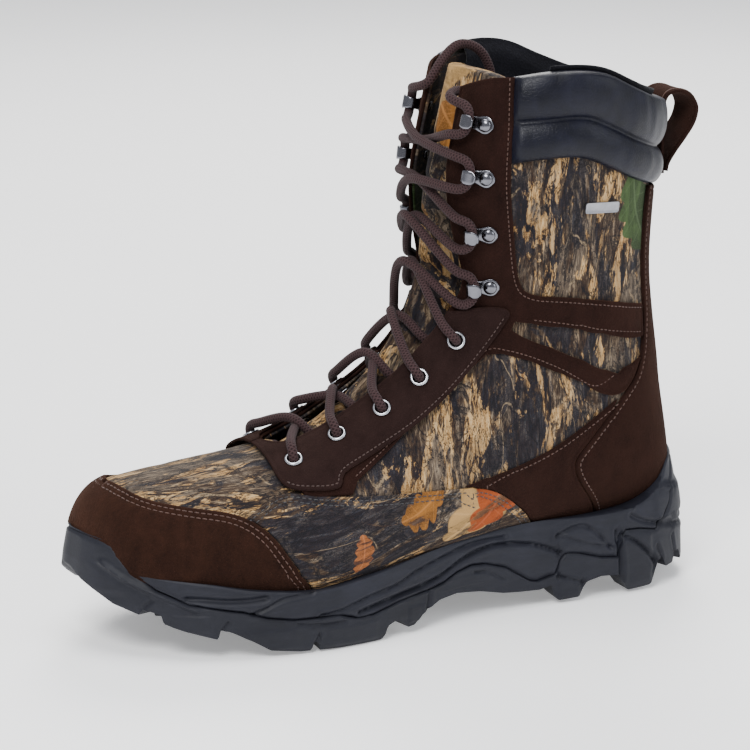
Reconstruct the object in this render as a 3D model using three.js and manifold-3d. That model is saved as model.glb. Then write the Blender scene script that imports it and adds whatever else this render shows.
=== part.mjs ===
// A lace-up insulated hunting boot for the left foot, as an assembly of named pieces.
// Millimetres, +Z up, the toe towards -X, the outer (lateral) side of the foot towards -Y.
//
// Everything follows one "last" surface, a loft of sections that fan round the ankle: u runs from
// the toe (0) to the top of the shaft (1), and v runs round a section, from the front ridge (0) to
// the back or bottom line (1), negative on the lateral side. Each layer of the boot lies between
// two offsets of that surface, and each panel is a layer cut to its outline in the side view.

import * as THREE from 'three';
import { mergeVertices } from 'three/addons/utils/BufferGeometryUtils.js';
import Module from 'manifold-3d';

const wasm = await Module();
wasm.setup();

// ---------------------------------------------------------------- driving dimensions

const SOLE_LENGTH = 318;      // toe tip to heel of the outsole
const SOLE_WIDTH = 112;       // outsole across the ball of the foot
const BOOT_HEIGHT = 262;      // floor to the top of the tongue

const GAP = 0.3;              // clearance between pieces that touch
const FABRIC = 1.5;           // printed fabric of the vamp and quarters
const SUEDE = 1.6;            // suede overlays
const STIFFENER = 1.1;        // toe puff and heel counter stiffener
const INSULATION = 4.2;       // insulation batting
const LINING = 1.2;           // lining with its membrane
const FOOTBED = 5;            // removable footbed
const COLLAR_FOAM = 3.4;      // foam rolls in the collar
const TONGUE_FOAM = 4.6;      // padding of the tongue
const TONGUE_SKIN = 1.0;      // outer and inner cloth of the tongue
const LACE = 4.2;             // lace diameter
const LACE_ROOM = 0.65;       // running room round the lace
const EYELET_FLANGE = 4.4;    // eyelet flange radius
const EYELET_WALL = 0.6;      // eyelet sheet thickness
const RIVET_HEAD = 3.0;       // hook rivet head radius
const RIVET_SHANK = 1.3;      // hook rivet shank radius
const HOOK_PLATE = 0.9;       // hook sheet thickness
const HOOK_WIDTH = 8;         // hook width along the facing
const LUG_DEPTH = 7;          // tread depth
const LOOP_BAND = 2.2;        // pull loop strap thickness
const LOOP_WIDTH = 22;        // pull loop strap width
const SHANK = [104, 15, 1.3]; // steel shank length, width, thickness
const TAG = [19, 5.2, 1.0];   // metal tag length, height, thickness

// The shape below is drawn for these reference sizes and stretched to the ones above.
const REF_LENGTH = 318;
const REF_WIDTH = 112;
const REF_HEIGHT = 262;
const X = (x) => (x * SOLE_LENGTH) / REF_LENGTH;
const Y = (y) => (y * SOLE_WIDTH) / REF_WIDTH;
const Z = (z) => (z * BOOT_HEIGHT) / REF_HEIGHT;

// Layers as [inner, outer] offsets from the last surface.
const OUTER = [-FABRIC, 0];
const OVERLAY = [GAP, GAP + SUEDE];
const SECOND_OVERLAY = [2 * GAP + SUEDE, 2 * GAP + 2 * SUEDE];
const STIFF = [-FABRIC - GAP - STIFFENER, -FABRIC - GAP];
const BATTING = [STIFF[1] - INSULATION, STIFF[1]];
const INSIDE = [BATTING[0] - GAP - LINING, BATTING[0] - GAP];
const SOLE_FIT = OVERLAY[1] + GAP;

// Colours and finishes.
const FINISH = {
  camo: [0x5b5040, 0.85, 0],
  suede: [0x3a211a, 0.95, 0],
  nubuck: [0x3d2926, 0.8, 0],
  collar: [0x1f2029, 0.45, 0],
  lining: [0x17171d, 0.95, 0],
  batting: [0xd8d4c8, 1, 0],
  board: [0xb9a27c, 0.9, 0],
  rubber: [0x26262f, 0.7, 0],
  midsole: [0x2b2c36, 0.75, 0],
  lace: [0x4a3234, 0.9, 0],
  nickel: [0x8d8f94, 0.3, 1],
  steel: [0x9a9ca0, 0.4, 1],
};

// ---------------------------------------------------------------- curves and the last surface

/** Catmull-Rom through rows of numbers, with t from 0 to 1. */
function through(rows, t) {
  const last = rows.length - 1;
  const x = Math.min(Math.max(t, 0) * last, last - 1e-9);
  const i = Math.floor(x);
  const f = x - i;
  const p0 = rows[Math.max(i - 1, 0)];
  const p1 = rows[i];
  const p2 = rows[i + 1];
  const p3 = rows[Math.min(i + 2, last)];
  return p1.map((b, k) => 0.5 * (2 * b + (p2[k] - p0[k]) * f
    + (2 * p0[k] - 5 * b + 4 * p2[k] - p3[k]) * f * f
    + (3 * b - p0[k] - 3 * p2[k] + p3[k]) * f * f * f));
}

/** An open smooth line through [x, z] points, with steps samples between two points. */
function line(points, steps = 2) {
  const count = (points.length - 1) * steps;
  return Array.from({ length: count + 1 }, (_, i) => through(points, i / count));
}

// Sections of the last: front ridge x, z; back or bottom line x, z; lateral and medial half
// widths; centre y; where along the section it is widest; roundness of its two ends.
const SECTIONS = [
  [-152, 44, -152, 38, 1, 1, 12, 0.50, 2.0, 2.0],
  [-149, 59, -149, 28, 18, 15, 11, 0.55, 2.0, 2.2],
  [-139, 71, -139, 25, 34, 27, 9, 0.62, 2.0, 2.7],
  [-120, 76, -120, 23, 45, 37, 6, 0.68, 2.0, 3.3],
  [-90, 79, -92, 22, 51, 44, 3, 0.72, 2.0, 3.8],
  [-58, 85, -62, 22, 54, 47, 0, 0.74, 1.9, 4.0],
  [-30, 98, -30, 25, 52, 46, -1, 0.73, 1.8, 4.0],
  [-7, 117, 8, 30, 47, 42, -2, 0.70, 1.7, 3.8],
  [8, 138, 58, 33, 43, 40, -2, 0.64, 1.7, 3.6],
  [16, 157, 108, 34, 41, 40, -1, 0.58, 1.8, 3.4],
  [19, 174, 145, 44, 40, 41, 0, 0.54, 1.9, 3.0],
  [20, 190, 142, 100, 42, 43, 0, 0.52, 2.1, 2.4],
  [22, 206, 136, 155, 46, 46, 0, 0.51, 2.2, 2.2],
  [27, 228, 138, 205, 49, 49, 0, 0.50, 2.2, 2.2],
  [38, 272, 141, 258, 51, 51, 0, 0.50, 2.2, 2.2],
].map(([ax, az, bx, bz, wl, wm, yc, sw, p, q]) =>
  [X(ax), Z(az), X(bx), Z(bz), Y(wl), Y(wm), Y(yc), sw, p, q]);

/** A point of the last surface. */
function lastPoint(u, v) {
  const [ax, az, bx, bz, wl, wm, yc, sw, p, q] = through(SECTIONS, u);
  const angle = Math.abs(v) * Math.PI;
  const power = 2 / (Math.abs(v) <= 0.5 ? p : q);
  const along = Math.abs(Math.cos(angle)) ** power;
  const across = Math.abs(Math.sin(angle)) ** power;
  const s = Math.abs(v) <= 0.5 ? sw * (1 - along) : sw + (1 - sw) * along;
  return new THREE.Vector3(ax + (bx - ax) * s, yc + (v < 0 ? -wl : wm) * across, az + (bz - az) * s);
}

/** The surface's outward normal, from points a little to each side. */
function lastNormal(u, v) {
  const du = 0.008;
  const dv = 0.012;
  const wrap = (t) => (t > 1 ? t - 2 : t < -1 ? t + 2 : t);
  const along = lastPoint(Math.min(u + du, 1), v).sub(lastPoint(Math.max(u - du, 0), v));
  const round = lastPoint(u, wrap(v + dv)).sub(lastPoint(u, wrap(v - dv)));
  return along.cross(round).normalize();
}

/** A point at an offset from the last surface. */
function layerPoint(u, v, offset) {
  return lastPoint(u, v).addScaledVector(lastNormal(u, v), offset);
}

/** The u and v whose point has this x and z in the side view, on side -1 (lateral) or 1. */
function locate(x, z, side) {
  let best = [Infinity, 0, 0];
  let [u0, u1, v0, v1] = [0, 1, 0.01, 0.99];
  for (let round = 0; round < 7; round += 1) {
    const steps = round === 0 ? 40 : 8;
    for (let i = 0; i <= steps; i += 1) {
      for (let j = 0; j <= steps; j += 1) {
        const u = u0 + ((u1 - u0) * i) / steps;
        const v = v0 + ((v1 - v0) * j) / steps;
        const p = lastPoint(u, side * v);
        const far = Math.hypot(p.x - X(x), p.z - Z(z));
        if (far < best[0]) best = [far, u, v];
      }
    }
    const [du, dv] = [(u1 - u0) / steps, (v1 - v0) / steps];
    [u0, u1] = [Math.max(best[1] - du, 0), Math.min(best[1] + du, 1)];
    [v0, v1] = [Math.max(best[2] - dv, 0.01), Math.min(best[2] + dv, 0.99)];
  }
  return [best[1], side * best[2]];
}

// ---------------------------------------------------------------- solids

/** A closed mesh's geometry as a solid that can be joined and cut. */
function solid(geometry) {
  const bare = new THREE.BufferGeometry().setAttribute('position', geometry.getAttribute('position'));
  bare.setIndex(geometry.index);
  const merged = mergeVertices(bare, 1e-4);
  return new wasm.Manifold(new wasm.Mesh({
    numProp: 3,
    vertProperties: new Float32Array(merged.attributes.position.array),
    triVerts: new Uint32Array(merged.index.array),
  }));
}

/** A solid's geometry, for a mesh. */
function geometryOf(made) {
  const mesh = made.getMesh();
  const positions = new Float32Array(mesh.numVert * 3);
  for (let i = 0; i < mesh.numVert; i += 1) {
    positions.set(mesh.vertProperties.subarray(i * mesh.numProp, i * mesh.numProp + 3), i * 3);
  }
  return new THREE.BufferGeometry()
    .setAttribute('position', new THREE.BufferAttribute(positions, 3))
    .setIndex(new THREE.BufferAttribute(new Uint32Array(mesh.triVerts), 1));
}

/** A closed solid from rows of points, each row a closed ring, with a fan at each end. */
function loft(rings) {
  const size = rings[0].length;
  const points = rings.flat();
  const faces = [];
  for (let i = 0; i + 1 < rings.length; i += 1) {
    for (let j = 0; j < size; j += 1) {
      const a = i * size + j;
      const b = i * size + ((j + 1) % size);
      faces.push(a, b, a + size, b, b + size, a + size);
    }
  }
  const middle = (ring) => ring.reduce((sum, p) => sum.add(p), new THREE.Vector3()).divideScalar(size);
  points.push(middle(rings[0]), middle(rings.at(-1)));
  const last = (rings.length - 1) * size;
  for (let j = 0; j < size; j += 1) {
    const k = (j + 1) % size;
    faces.push(points.length - 2, k, j, points.length - 1, last + j, last + k);
  }
  const made = solid(new THREE.BufferGeometry().setFromPoints(points).setIndex(faces));
  return made.volume() < 0 ? solid(new THREE.BufferGeometry().setFromPoints(points)
    .setIndex(faces.map((_, i) => faces[3 * Math.floor(i / 3) + 2 - (i % 3)]))) : made;
}

const ROUNDS = 12;   // sections in a layer's mesh
const FACETS = 16;   // points round each section
const FINENESS = 0.15; // detail smaller than this is dropped from a finished piece

const gridU = (i) => (Math.min(i, ROUNDS) / ROUNDS) ** 0.9;
const gridV = (j) => (2 * (((j % FACETS) + FACETS) % FACETS)) / FACETS - 1;

/** Everything inside the last surface at an offset. */
function lastSolid(offset) {
  return loft(Array.from({ length: ROUNDS + 1 }, (_, i) =>
    Array.from({ length: FACETS }, (__, j) => layerPoint(gridU(i), gridV(j), offset))));
}

/** The point of that solid's faceted surface at u, v. */
function facetPoint(u, v, offset) {
  const [i, j] = [u ** (1 / 0.9) * ROUNDS, ((v + 1) / 2) * FACETS];
  const [i0, j0] = [Math.floor(i), Math.floor(j)];
  const row = (k) => layerPoint(gridU(k), gridV(j0), offset).lerp(layerPoint(gridU(k), gridV(j0 + 1), offset), j - j0);
  return row(i0).lerp(row(i0 + 1), i - i0);
}

const lastSolids = new Map();
/** The shell between two offsets of the last. */
function layer([inner, outer]) {
  for (const offset of [inner, outer]) {
    if (!lastSolids.has(offset)) lastSolids.set(offset, lastSolid(offset));
  }
  return lastSolids.get(outer).subtract(lastSolids.get(inner));
}

/** A side-view outline of [x, z] points, as a prism from y0 to y1. */
function sidePrism(outline, y0, y1) {
  const shape = new THREE.Shape(outline.map(([x, z]) => new THREE.Vector2(X(x), Z(z))));
  const geometry = new THREE.ExtrudeGeometry(shape, { depth: y1 - y0, bevelEnabled: false });
  return solid(geometry.rotateX(Math.PI / 2).translate(0, y1, 0));
}

/** An outline grown by a distance, for the clearance round a neighbour. */
function grown(outline, distance) {
  const area = outline.reduce((sum, [x, z], i) => {
    const [x1, z1] = outline[(i + 1) % outline.length];
    return sum + x * z1 - x1 * z;
  }, 0);
  return outline.map(([x, z], i) => {
    const [xa, za] = outline.at(i - 1);
    const [xb, zb] = outline[(i + 1) % outline.length];
    const size = Math.hypot(xb - xa, zb - za) || 1;
    const out = (Math.sign(area) * distance) / size;
    return [x + (zb - za) * out, z - (xb - xa) * out];
  });
}

const WIDE = Y(90);            // past the boot's sides
const SEAM_GAP = 0.4;          // between panels that meet edge to edge
const SIDES = { lateral: -1, medial: 1 };

/** The half of a prism on one side of the middle plane. */
function halfPrism(outline, side) {
  return side < 0 ? sidePrism(outline, -WIDE, -SEAM_GAP / 2) : sidePrism(outline, SEAM_GAP / 2, WIDE);
}

/** The largest body of a solid, so that a sliver cut loose doesn't stay. */
function largest(made) {
  return made.decompose().reduce((best, body) => (body.volume() > best.volume() ? body : best));
}

/** The place of a fitting on the last: its point, its outward axis and the way up the facing. */
function seat([x, z], side, offset) {
  const [u, v] = locate(x, z, side);
  const [du, dv] = [0.014, 0.03];
  const up = facetPoint(u + du, v, 0).sub(facetPoint(u - du, v, 0)).normalize();
  const out = up.clone().cross(facetPoint(u, v + dv, 0).sub(facetPoint(u, v - dv, 0))).normalize();
  const matrix = new THREE.Matrix4().makeBasis(up.clone().cross(out), up, out);
  return matrix.setPosition(facetPoint(u, v, 0).addScaledVector(out, offset));
}

// ---------------------------------------------------------------- outlines in the side view

const TOP = 300;               // above everything
const THROAT = -62;            // x where the facings start
const TOE_CAP_EDGE = [[-138, 100], [-138, 74], [-128, 69], [-112, 66], [-92, 62.5], [-80, 55], [-71, 42], [-60, 26], [-56, 0]];
const BAND_EDGE = [[-67, 71.5], [-58, 68], [-35, 66.5], [0, 65.3], [25, 63.5], [38, 59.5], [50, 51], [60, 41], [66, 30], [70, 0]];
const REAR_EDGE = [[12, 64.5], [28, 66.5], [50, 70.5], [72, 77.5], [90, 86.5], [104, 95.5]];
const COUNTER_EDGE = [[122.5, 198], [121, 165], [122.5, 135], [119, 111], [108, 96.5], [92, 79], [84, 71], [82, 66],
  [85, 58], [94, 46], [102, 34], [106, 0]];
const COLLAR_BOTTOM = [[46, 215], [62, 217], [78, 217], [92, 212], [108, 204.5], [126, 198], [150, 192]];
const COLLAR_SEAM = [[46, 234], [62, 235.5], [80, 236], [93, 231], [108, 223.5], [126, 216.5], [150, 210]];
const COLLAR_TOP = [[46, 253], [62, 256], [78, 256.5], [92, 254], [108, 246.5], [126, 239], [150, 233]];
const FACING_TOP = [[28, 238], [31.5, 245], [35.5, 250], [42, 254], [51, 255.2]];
const FACING_REAR = [[50, 255.2], [48.5, 232], [47.2, 205], [50, 180], [54, 158], [60, 151.5], [74, 149.5], [96, 146], [124, 140]];

const toeCapOutline = [[-170, 0], [-170, 100], ...line(TOE_CAP_EDGE)];
const bandOutline = [...line(BAND_EDGE), [-90, 0], [-90, 60]];
const rearOutline = [...REAR_EDGE, [130, 90], [130, 0], [-20, 0], [-20, 60]];
const counterOutline = [...line(COUNTER_EDGE), [175, 0], [175, 198]];

// The facing is one piece of suede: the hook panel, the strip beside the eyestay and two straps.
const facingOutline = [
  ...FACING_TOP, ...FACING_REAR.slice(1), [124, 124],
  [96, 130], [75, 135], [60, 137.5], [53, 138.5], [51, 134.5], [56, 131], [70, 125], [88, 116.5], [100, 111], [106, 108.5],
  [109, 111], [124, 116], [124, 106], [112, 99], [92, 102.5], [76, 111.5], [60, 119], [46, 123.5], [38, 123.5],
  [20, 111], [3, 98.5], [-12, 86.5], [-24, 78.5], [-33, 73], [-37, 67], [-37, 40], [-60, 40], [-60, 100], [-30, 120],
  [0, 150], [10, 200],
];

// The eyestay carries the eyelets and lies on the facing.
const EYESTAY_LOW = [[-66, 100], [-67.5, 80], [-68, 73], [-62, 69.6], [-50, 69], [-42, 70.5], [-38, 75.5], [-25, 81.5], [0, 94], [22, 110],
  [40, 128], [49, 139], [50.5, 143.5], [46, 145.6], [34, 145], [24, 143.5], [15, 150]];
const eyestayOutline = [...EYESTAY_LOW, [0, 160], [-60, 130]];

const vampOutline = [[-175, 0], [-175, 100], [-68, 120], [-66, 78], [-54, 66], [-42, 45], [-38, 0]];

// ---------------------------------------------------------------- openings through the layers

/** The slot down the front that the tongue fills, this wide each side and this deep. */
function throat(halfWidth, depth, from) {
  const rings = [];
  for (let u = from; u < 1.05; u += 0.03) {
    const [ax, az, bx, bz, , , yc] = through(SECTIONS, u);
    const out = new THREE.Vector3(ax - bx, 0, az - bz).normalize();
    const ridge = new THREE.Vector3(ax, yc, az);
    const corner = (y, far) => ridge.clone().addScaledVector(out, far).add(new THREE.Vector3(0, y, 0));
    const w = halfWidth(u);
    rings.push([corner(-w, 25), corner(w, 25), corner(w, -depth(u)), corner(-w, -depth(u))]);
  }
  return loft(rings);
}

const THROAT_U = locate(THROAT, 84, 1)[0];
const TONGUE_U = THROAT_U - 0.025;
const SLOT_WIDTHS = [12, 14, 16, 18.5, 20, 21.5, 22, 20.5, 19, 17, 16, 15].map((w) => [Y(w)]);
const slotWidth = (u) => through(SLOT_WIDTHS, (u - THROAT_U) / (1 - THROAT_U))[0];
const frontSlot = throat(slotWidth, () => 30, THROAT_U);

// Inside, the batting and lining stop short of the tongue and leave it room to move.
const WING_DEPTHS = [17, 18, 21, 25, 31, 37, 39, 37, 34, 32, 30, 28].map((d) => [X(d)]);
const wingDepth = (u) => through(WING_DEPTHS, (u - TONGUE_U) / (1 - TONGUE_U))[0];
const tongueRoom = throat(() => Y(75), wingDepth, TONGUE_U - 0.012);

/** What lies above the top of the collar, cut off every layer. */
const aboveCollar = sidePrism([...line(COLLAR_TOP), [200, 230], [200, TOP + 60], [-20, TOP + 60], [-20, 253]], -WIDE, WIDE);

// The board takes the outer layer's place under the foot.
const BOTTOM_LINE = [[-160, 30], [-149, 30.5], [-139, 28], [-120, 26.5], [-92, 25.5], [-62, 25.5], [-30, 28.5], [8, 33.5],
  [58, 36.5], [100, 37.5], [124, 39], [150, 46]];
const boardZone = (rise) => sidePrism([...line(BOTTOM_LINE).map(([x, z]) => [x, z + rise]), [150, 0], [-160, 0]], -WIDE, WIDE);

// ---------------------------------------------------------------- fittings' places

const EYELETS = [[-57, 79.5], [-34, 89], [-12, 100], [7, 113.5], [25.5, 130]];
const HOOKS = [[42.5, 155.5], [40, 181.5], [38, 208], [39, 232.5]];

/** A round solid turned about z, from [radius, height] points that start and end on the axis. */
function turned(profile, facets, matrix) {
  const points = profile.map(([r, h]) => new THREE.Vector2(r, h));
  return solid(new THREE.LatheGeometry(points, facets).rotateX(Math.PI / 2).applyMatrix4(matrix));
}

/** A hole of a radius through every outer layer at a fitting. */
function hole(place, side, radius) {
  return turned([[0, -9], [radius, -9], [radius, 9], [0, 9]], radius < 2 ? 6 : 8, seat(place, side, 0));
}

const EYELET_HOLE = LACE / 2 + LACE_ROOM;
const EYELET_BARREL = EYELET_HOLE + EYELET_WALL;
const eyeletHoles = (side) => EYELETS.map((place) => hole(place, side, EYELET_BARREL + 0.55));
const rivetHoles = (side) => HOOKS.map((place) => hole(place, side, RIVET_SHANK + 0.45));
const cutAll = (made, cutters) => cutters.reduce((body, cutter) => body.subtract(cutter), made);

// ---------------------------------------------------------------- the group and its pieces

const boot = new THREE.Group();

/** Adds a solid to the boot as a named mesh with its finish. */
function add(name, made, finish) {
  const [color, roughness, metalness] = FINISH[finish];
  const mesh = new THREE.Mesh(geometryOf(largest(made.simplify(FINENESS))), new THREE.MeshStandardMaterial({ color, roughness, metalness }));
  mesh.name = name;
  boot.add(mesh);
}

const outerLayer = layer(OUTER).subtract(aboveCollar);
const overlayLayer = layer(OVERLAY).subtract(aboveCollar);
const secondLayer = layer(SECOND_OVERLAY);

/** The printed fabric: vamp and the two quarters. */
function addFabric() {
  const upper = outerLayer.subtract(frontSlot).subtract(boardZone(0.4));
  add('vamp', largest(upper.intersect(sidePrism(vampOutline, -WIDE, WIDE))), 'camo');
  const rest = upper.subtract(sidePrism(grown(vampOutline, SEAM_GAP), -WIDE, WIDE));
  for (const [name, side] of Object.entries(SIDES)) {
    const half = rest.intersect(halfPrism([[-175, 0], [-175, TOP], [175, TOP], [175, 0]], side));
    add(`quarter_${name}`, largest(cutAll(half, [...eyeletHoles(side), ...rivetHoles(side)])), 'camo');
  }
}

/** Suede and fabric overlays on the first overlay layer. */
function addOverlays() {
  const field = overlayLayer.subtract(frontSlot).subtract(boardZone(-1.2));
  const collarZone = [...line(COLLAR_BOTTOM), [200, 190], [200, TOP + 20], [51.5, TOP + 20], [51.5, 216]];
  const cap = sidePrism(toeCapOutline, -WIDE, WIDE);
  add('toe_cap', largest(field.intersect(cap)), 'suede');
  const capRoom = sidePrism(grown(toeCapOutline, SEAM_GAP), -WIDE, WIDE);
  const counter = sidePrism(counterOutline, -WIDE, WIDE);
  const collarRoom = sidePrism(grown(collarZone, SEAM_GAP), -WIDE, WIDE);
  add('heel_counter', largest(field.intersect(counter).subtract(collarRoom)), 'suede');
  const counterRoom = sidePrism(grown(counterOutline, SEAM_GAP), -WIDE, WIDE);
  const bandRoom = sidePrism(grown(bandOutline, SEAM_GAP), -WIDE, WIDE);
  const facingRoom = sidePrism(grown(facingOutline, SEAM_GAP), -WIDE, WIDE);
  for (const [name, side] of Object.entries(SIDES)) {
    const band = field.intersect(halfPrism(bandOutline, side)).subtract(capRoom);
    add(`side_band_${name}`, largest(band), 'camo');
    const rear = field.intersect(halfPrism(rearOutline, side)).subtract(counterRoom).subtract(bandRoom);
    add(`rear_overlay_${name}`, largest(rear.subtract(facingRoom)), 'suede');
    const facing = field.intersect(halfPrism(facingOutline, side)).subtract(counterRoom).subtract(bandRoom)
      .subtract(collarRoom).subtract(capRoom);
    add(`facing_${name}`, largest(cutAll(facing, [...eyeletHoles(side), ...rivetHoles(side)])), 'suede');
    const stay = secondLayer.intersect(halfPrism(eyestayOutline, side)).subtract(frontSlot);
    add(`eyestay_${name}`, largest(cutAll(stay, eyeletHoles(side))), 'nubuck');
  }
}

/** Stiffeners, insulation and lining between the fabric and the foot. */
function addInside() {
  const puff = sidePrism([[-175, 0], [-175, 100], [-112, 100], [-103, 60], [-98, 0]], -WIDE, WIDE);
  const puffRoom = sidePrism([[-175, 0], [-175, 100], [-110, 100], [-101, 60], [-96, 0]], -WIDE, WIDE);
  const cup = [[175, 0], [70, 0], [74, 45], [92, 66], [108, 88], [120, 100], [175, 108]];
  const stiff = layer(STIFF).subtract(boardZone(1.2));
  add('toe_puff', largest(stiff.intersect(puff)), 'board');
  add('counter_stiffener', largest(stiff.intersect(sidePrism(cup, -WIDE, WIDE))), 'board');
  const rooms = [puffRoom, sidePrism(grown(cup, 2), -WIDE, WIDE)];
  const within = lastSolid(STIFF[0] - GAP);
  const batting = cutAll(layer(BATTING), rooms.map((room) => room.subtract(within)));
  add('insulation', largest(batting.subtract(aboveCollar).subtract(tongueRoom)), 'batting');
  add('lining', largest(layer(INSIDE).subtract(aboveCollar).subtract(tongueRoom)), 'lining');
  add('insole_board', largest(layer(OUTER).intersect(boardZone(0)).subtract(frontSlot)), 'board');
  const [bedOut, rise] = [INSIDE[0] - GAP - 1.2, INSIDE[0] - GAP - FOOTBED];
  const bedLine = line(BOTTOM_LINE).map(([x, z]) => [x, z - rise]);
  const bed = lastSolid(bedOut).subtract(lastSolid(rise).subtract(boardZone(1.2 - rise)))
    .intersect(sidePrism([...bedLine.map(([x, z]) => [x, z + 3]), [140, 0], [-150, 0]], -WIDE, WIDE));
  add('footbed', largest(bed.intersect(lastSolid(INSIDE[0] - GAP))), 'board');
}

// The sole: its plan outline, and in the side view its top edge, the line between midsole and
// outsole, and the underside of the outsole between the lugs.
const SOLE_PLAN = [[-159, 12], [-154, -10], [-145, -24], [-130, -38], [-110, -50], [-85, -57.5], [-60, -61], [-30, -59], [0, -52],
  [30, -46.5], [60, -45], [95, -46], [125, -44], [145, -34], [156, -16], [159, 0], [156, 17], [145, 35], [125, 44], [95, 45], [60, 42],
  [30, 41], [0, 43], [-30, 48], [-60, 51], [-85, 50.5], [-110, 45], [-130, 36.5], [-145, 27], [-154, 23]];
const SOLE_EDGE = [[-175, 53], [-151, 52], [-146, 47], [-140, 39.5], [-130, 37], [-112, 35], [-90, 31], [-60, 28.5], [-34, 31],
  [0, 36], [31, 39], [60, 41], [90, 40], [112, 41], [126, 45], [136, 51], [146, 60], [175, 64]];
const SOLE_SPLIT = [[-175, 66], [-148, 54], [-142, 42], [-134, 32], [-121, 26], [-98, 21], [-69, 16], [-40, 13.5], [-15, 17.5], [8, 24],
  [30, 26], [48, 20], [66, 15], [92, 15], [112, 19], [126, 27], [138, 42], [150, 62], [175, 80]];
const SOLE_UNDER = [[-175, 40], [-156, 28], [-146, 22.5], [-130, 17.5], [-110, 12.5], [-88, 8.5], [-60, 7], [-25, 7], [-5, 10.5], [15, 14],
  [38, 12.5], [60, 8], [85, 7], [120, 7], [145, 9], [160, 12], [175, 16]];
const SOLE_LEVELS = [[-1, 2.5], [7, 0], [24, 0.6], [64, 7]];
const UNDER_GAP = 0.3;

/** The plan outline as [x, y] in millimetres, moved inwards, one to a level. */
function solePlan(inset) {
  return grown(SOLE_PLAN, -inset);
}

/** The whole sole's side walls, from the floor to above its top edge. */
function soleBlock() {
  return loft(SOLE_LEVELS.map(([z, inset]) => solePlan(inset).map(([x, y]) => new THREE.Vector3(X(x), Y(y), Z(z)))));
}

/** What lies under a side-view line. */
const below = (points) => sidePrism([...line(points), [175, -10], [-175, -10]], -WIDE, WIDE);

/** A lug: a block on the floor at x, y, turned in degrees. */
function lug(x, y, length, width, turn) {
  const box = new THREE.BoxGeometry(length, width, 60).rotateZ(THREE.MathUtils.degToRad(turn));
  return solid(box.translate(X(x), Y(y), 29));
}

/** The tread: claws along both edges and chevrons between them, under the forefoot and the heel. */
function lugs() {
  const made = [];
  const halfWidth = (x, side) => {
    const row = SOLE_PLAN.filter(([, y]) => (side < 0 ? y < 10 : y > 10)).sort((a, b) => a[0] - b[0]);
    const i = Math.max(row.findIndex(([px]) => px > x), 1);
    const [[xa, ya], [xb, yb]] = [row[i - 1], row[i]];
    return ya + ((yb - ya) * (x - xa)) / (xb - xa);
  };
  for (const side of [-1, 1]) {
    for (let x = -136; x < -4; x += 18.5) made.push(lug(x, halfWidth(x, side) - side * 9, 12.5, 28, side * 14));
    for (let x = 78; x < 146; x += 18.5) made.push(lug(x, halfWidth(x, side) - side * 9, 12.5, 26, -side * 12));
    for (let x = -118; x < -20; x += 24) made.push(lug(x, -4 + side * 8.5, 9, 20, side * 32));
    for (const x of [92, 120]) made.push(lug(x, side * 8, 9, 18, -side * 32));
  }
  made.push(lug(-150, 8, 10, 40, 0), lug(150, 0, 11, 34, 0));
  return made;
}

/** Midsole, outsole and the shank between midsole and board. */
function addSole() {
  const block = soleBlock().intersect(below(SOLE_EDGE));
  const foot = lastSolid(SOLE_FIT).subtract(boardZone(-1.6)).add(lastSolid(UNDER_GAP));
  const [length, width, thickness] = SHANK;
  const shankLine = (drop) => line(BOTTOM_LINE, 2).filter(([x]) => x > -2 && x < length).map(([x, z]) => [x, z - drop]);
  const shankBar = (margin) => sidePrism(grown([...shankLine(4.4), ...shankLine(4.4 + thickness).reverse()], margin),
    -width / 2 - margin, width / 2 + margin);
  const shankRoom = shankBar(GAP + 0.3).add(sidePrism([...shankLine(0), ...shankLine(5).reverse()], -width / 2 - GAP, width / 2 + GAP));
  add('shank', shankBar(0), 'steel');
  const upper = block.subtract(below(SOLE_SPLIT.map(([x, z]) => [x, z + GAP])));
  add('midsole', largest(upper.subtract(foot).subtract(shankRoom)), 'midsole');
  const tread = lugs().reduce((all, one) => all.add(one)).subtract(below(SOLE_SPLIT.map(([x]) => [x, 0])))
    .intersect(below(SOLE_UNDER.map(([x, z]) => [x, z + 1])));
  const floor = SOLE_UNDER.map(([x, z]) => [x, Math.max(z - LUG_DEPTH, 0)]);
  const blocks = tread.subtract(below(floor));
  const lower = block.intersect(below(SOLE_SPLIT)).subtract(below(SOLE_UNDER)).subtract(foot);
  add('outsole', largest(lower.add(blocks.intersect(block))), 'rubber');
}

const COLLAR_ROLL = GAP + COLLAR_FOAM;
const behind = (x) => sidePrism([[x, 0], [200, 0], [200, TOP], [x, TOP]], -WIDE, WIDE);
/** The part of the collar between two lines, from a margin above the low one to the same below the high one. */
const collarBand = (low, high, margin, from) => sidePrism([...line(low).map(([x, z]) => [x, z + margin]),
  ...line(high).map(([x, z]) => [x, z - margin]).reverse()], -WIDE, WIDE).intersect(behind(from));
const ROLLS = { collar_foam_lower: [COLLAR_BOTTOM, COLLAR_SEAM], collar_foam_upper: [COLLAR_SEAM, COLLAR_TOP] };

/** The padded collar: a cover stitched down round two foam rolls. */
function addCollar() {
  const cover = layer([GAP, COLLAR_ROLL + GAP + 1.1]).intersect(collarBand(COLLAR_BOTTOM, COLLAR_TOP, 0.4, 51.8));
  const pocket = lastSolid(COLLAR_ROLL + GAP);
  const rooms = Object.values(ROLLS).map(([low, high]) => pocket.intersect(collarBand(low, high, 2 - GAP, 53.5 - GAP)));
  add('collar_cover', largest(cutAll(cover, rooms)), 'collar');
  for (const [name, [low, high]] of Object.entries(ROLLS)) {
    add(name, largest(layer([GAP, COLLAR_ROLL]).intersect(collarBand(low, high, 2, 53.5))), 'batting');
  }
}

// The tongue lies under the facings, deep enough for the lace to pass between them.
const TONGUE_TOP = [[-20, 262], [28, 262], [44, 259], [60, 252], [90, 250], [90, 330], [-20, 330]];
const TONGUE_DROP = 1.5 - INSIDE[0]; // its face stays clear of the lining's inner side

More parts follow.
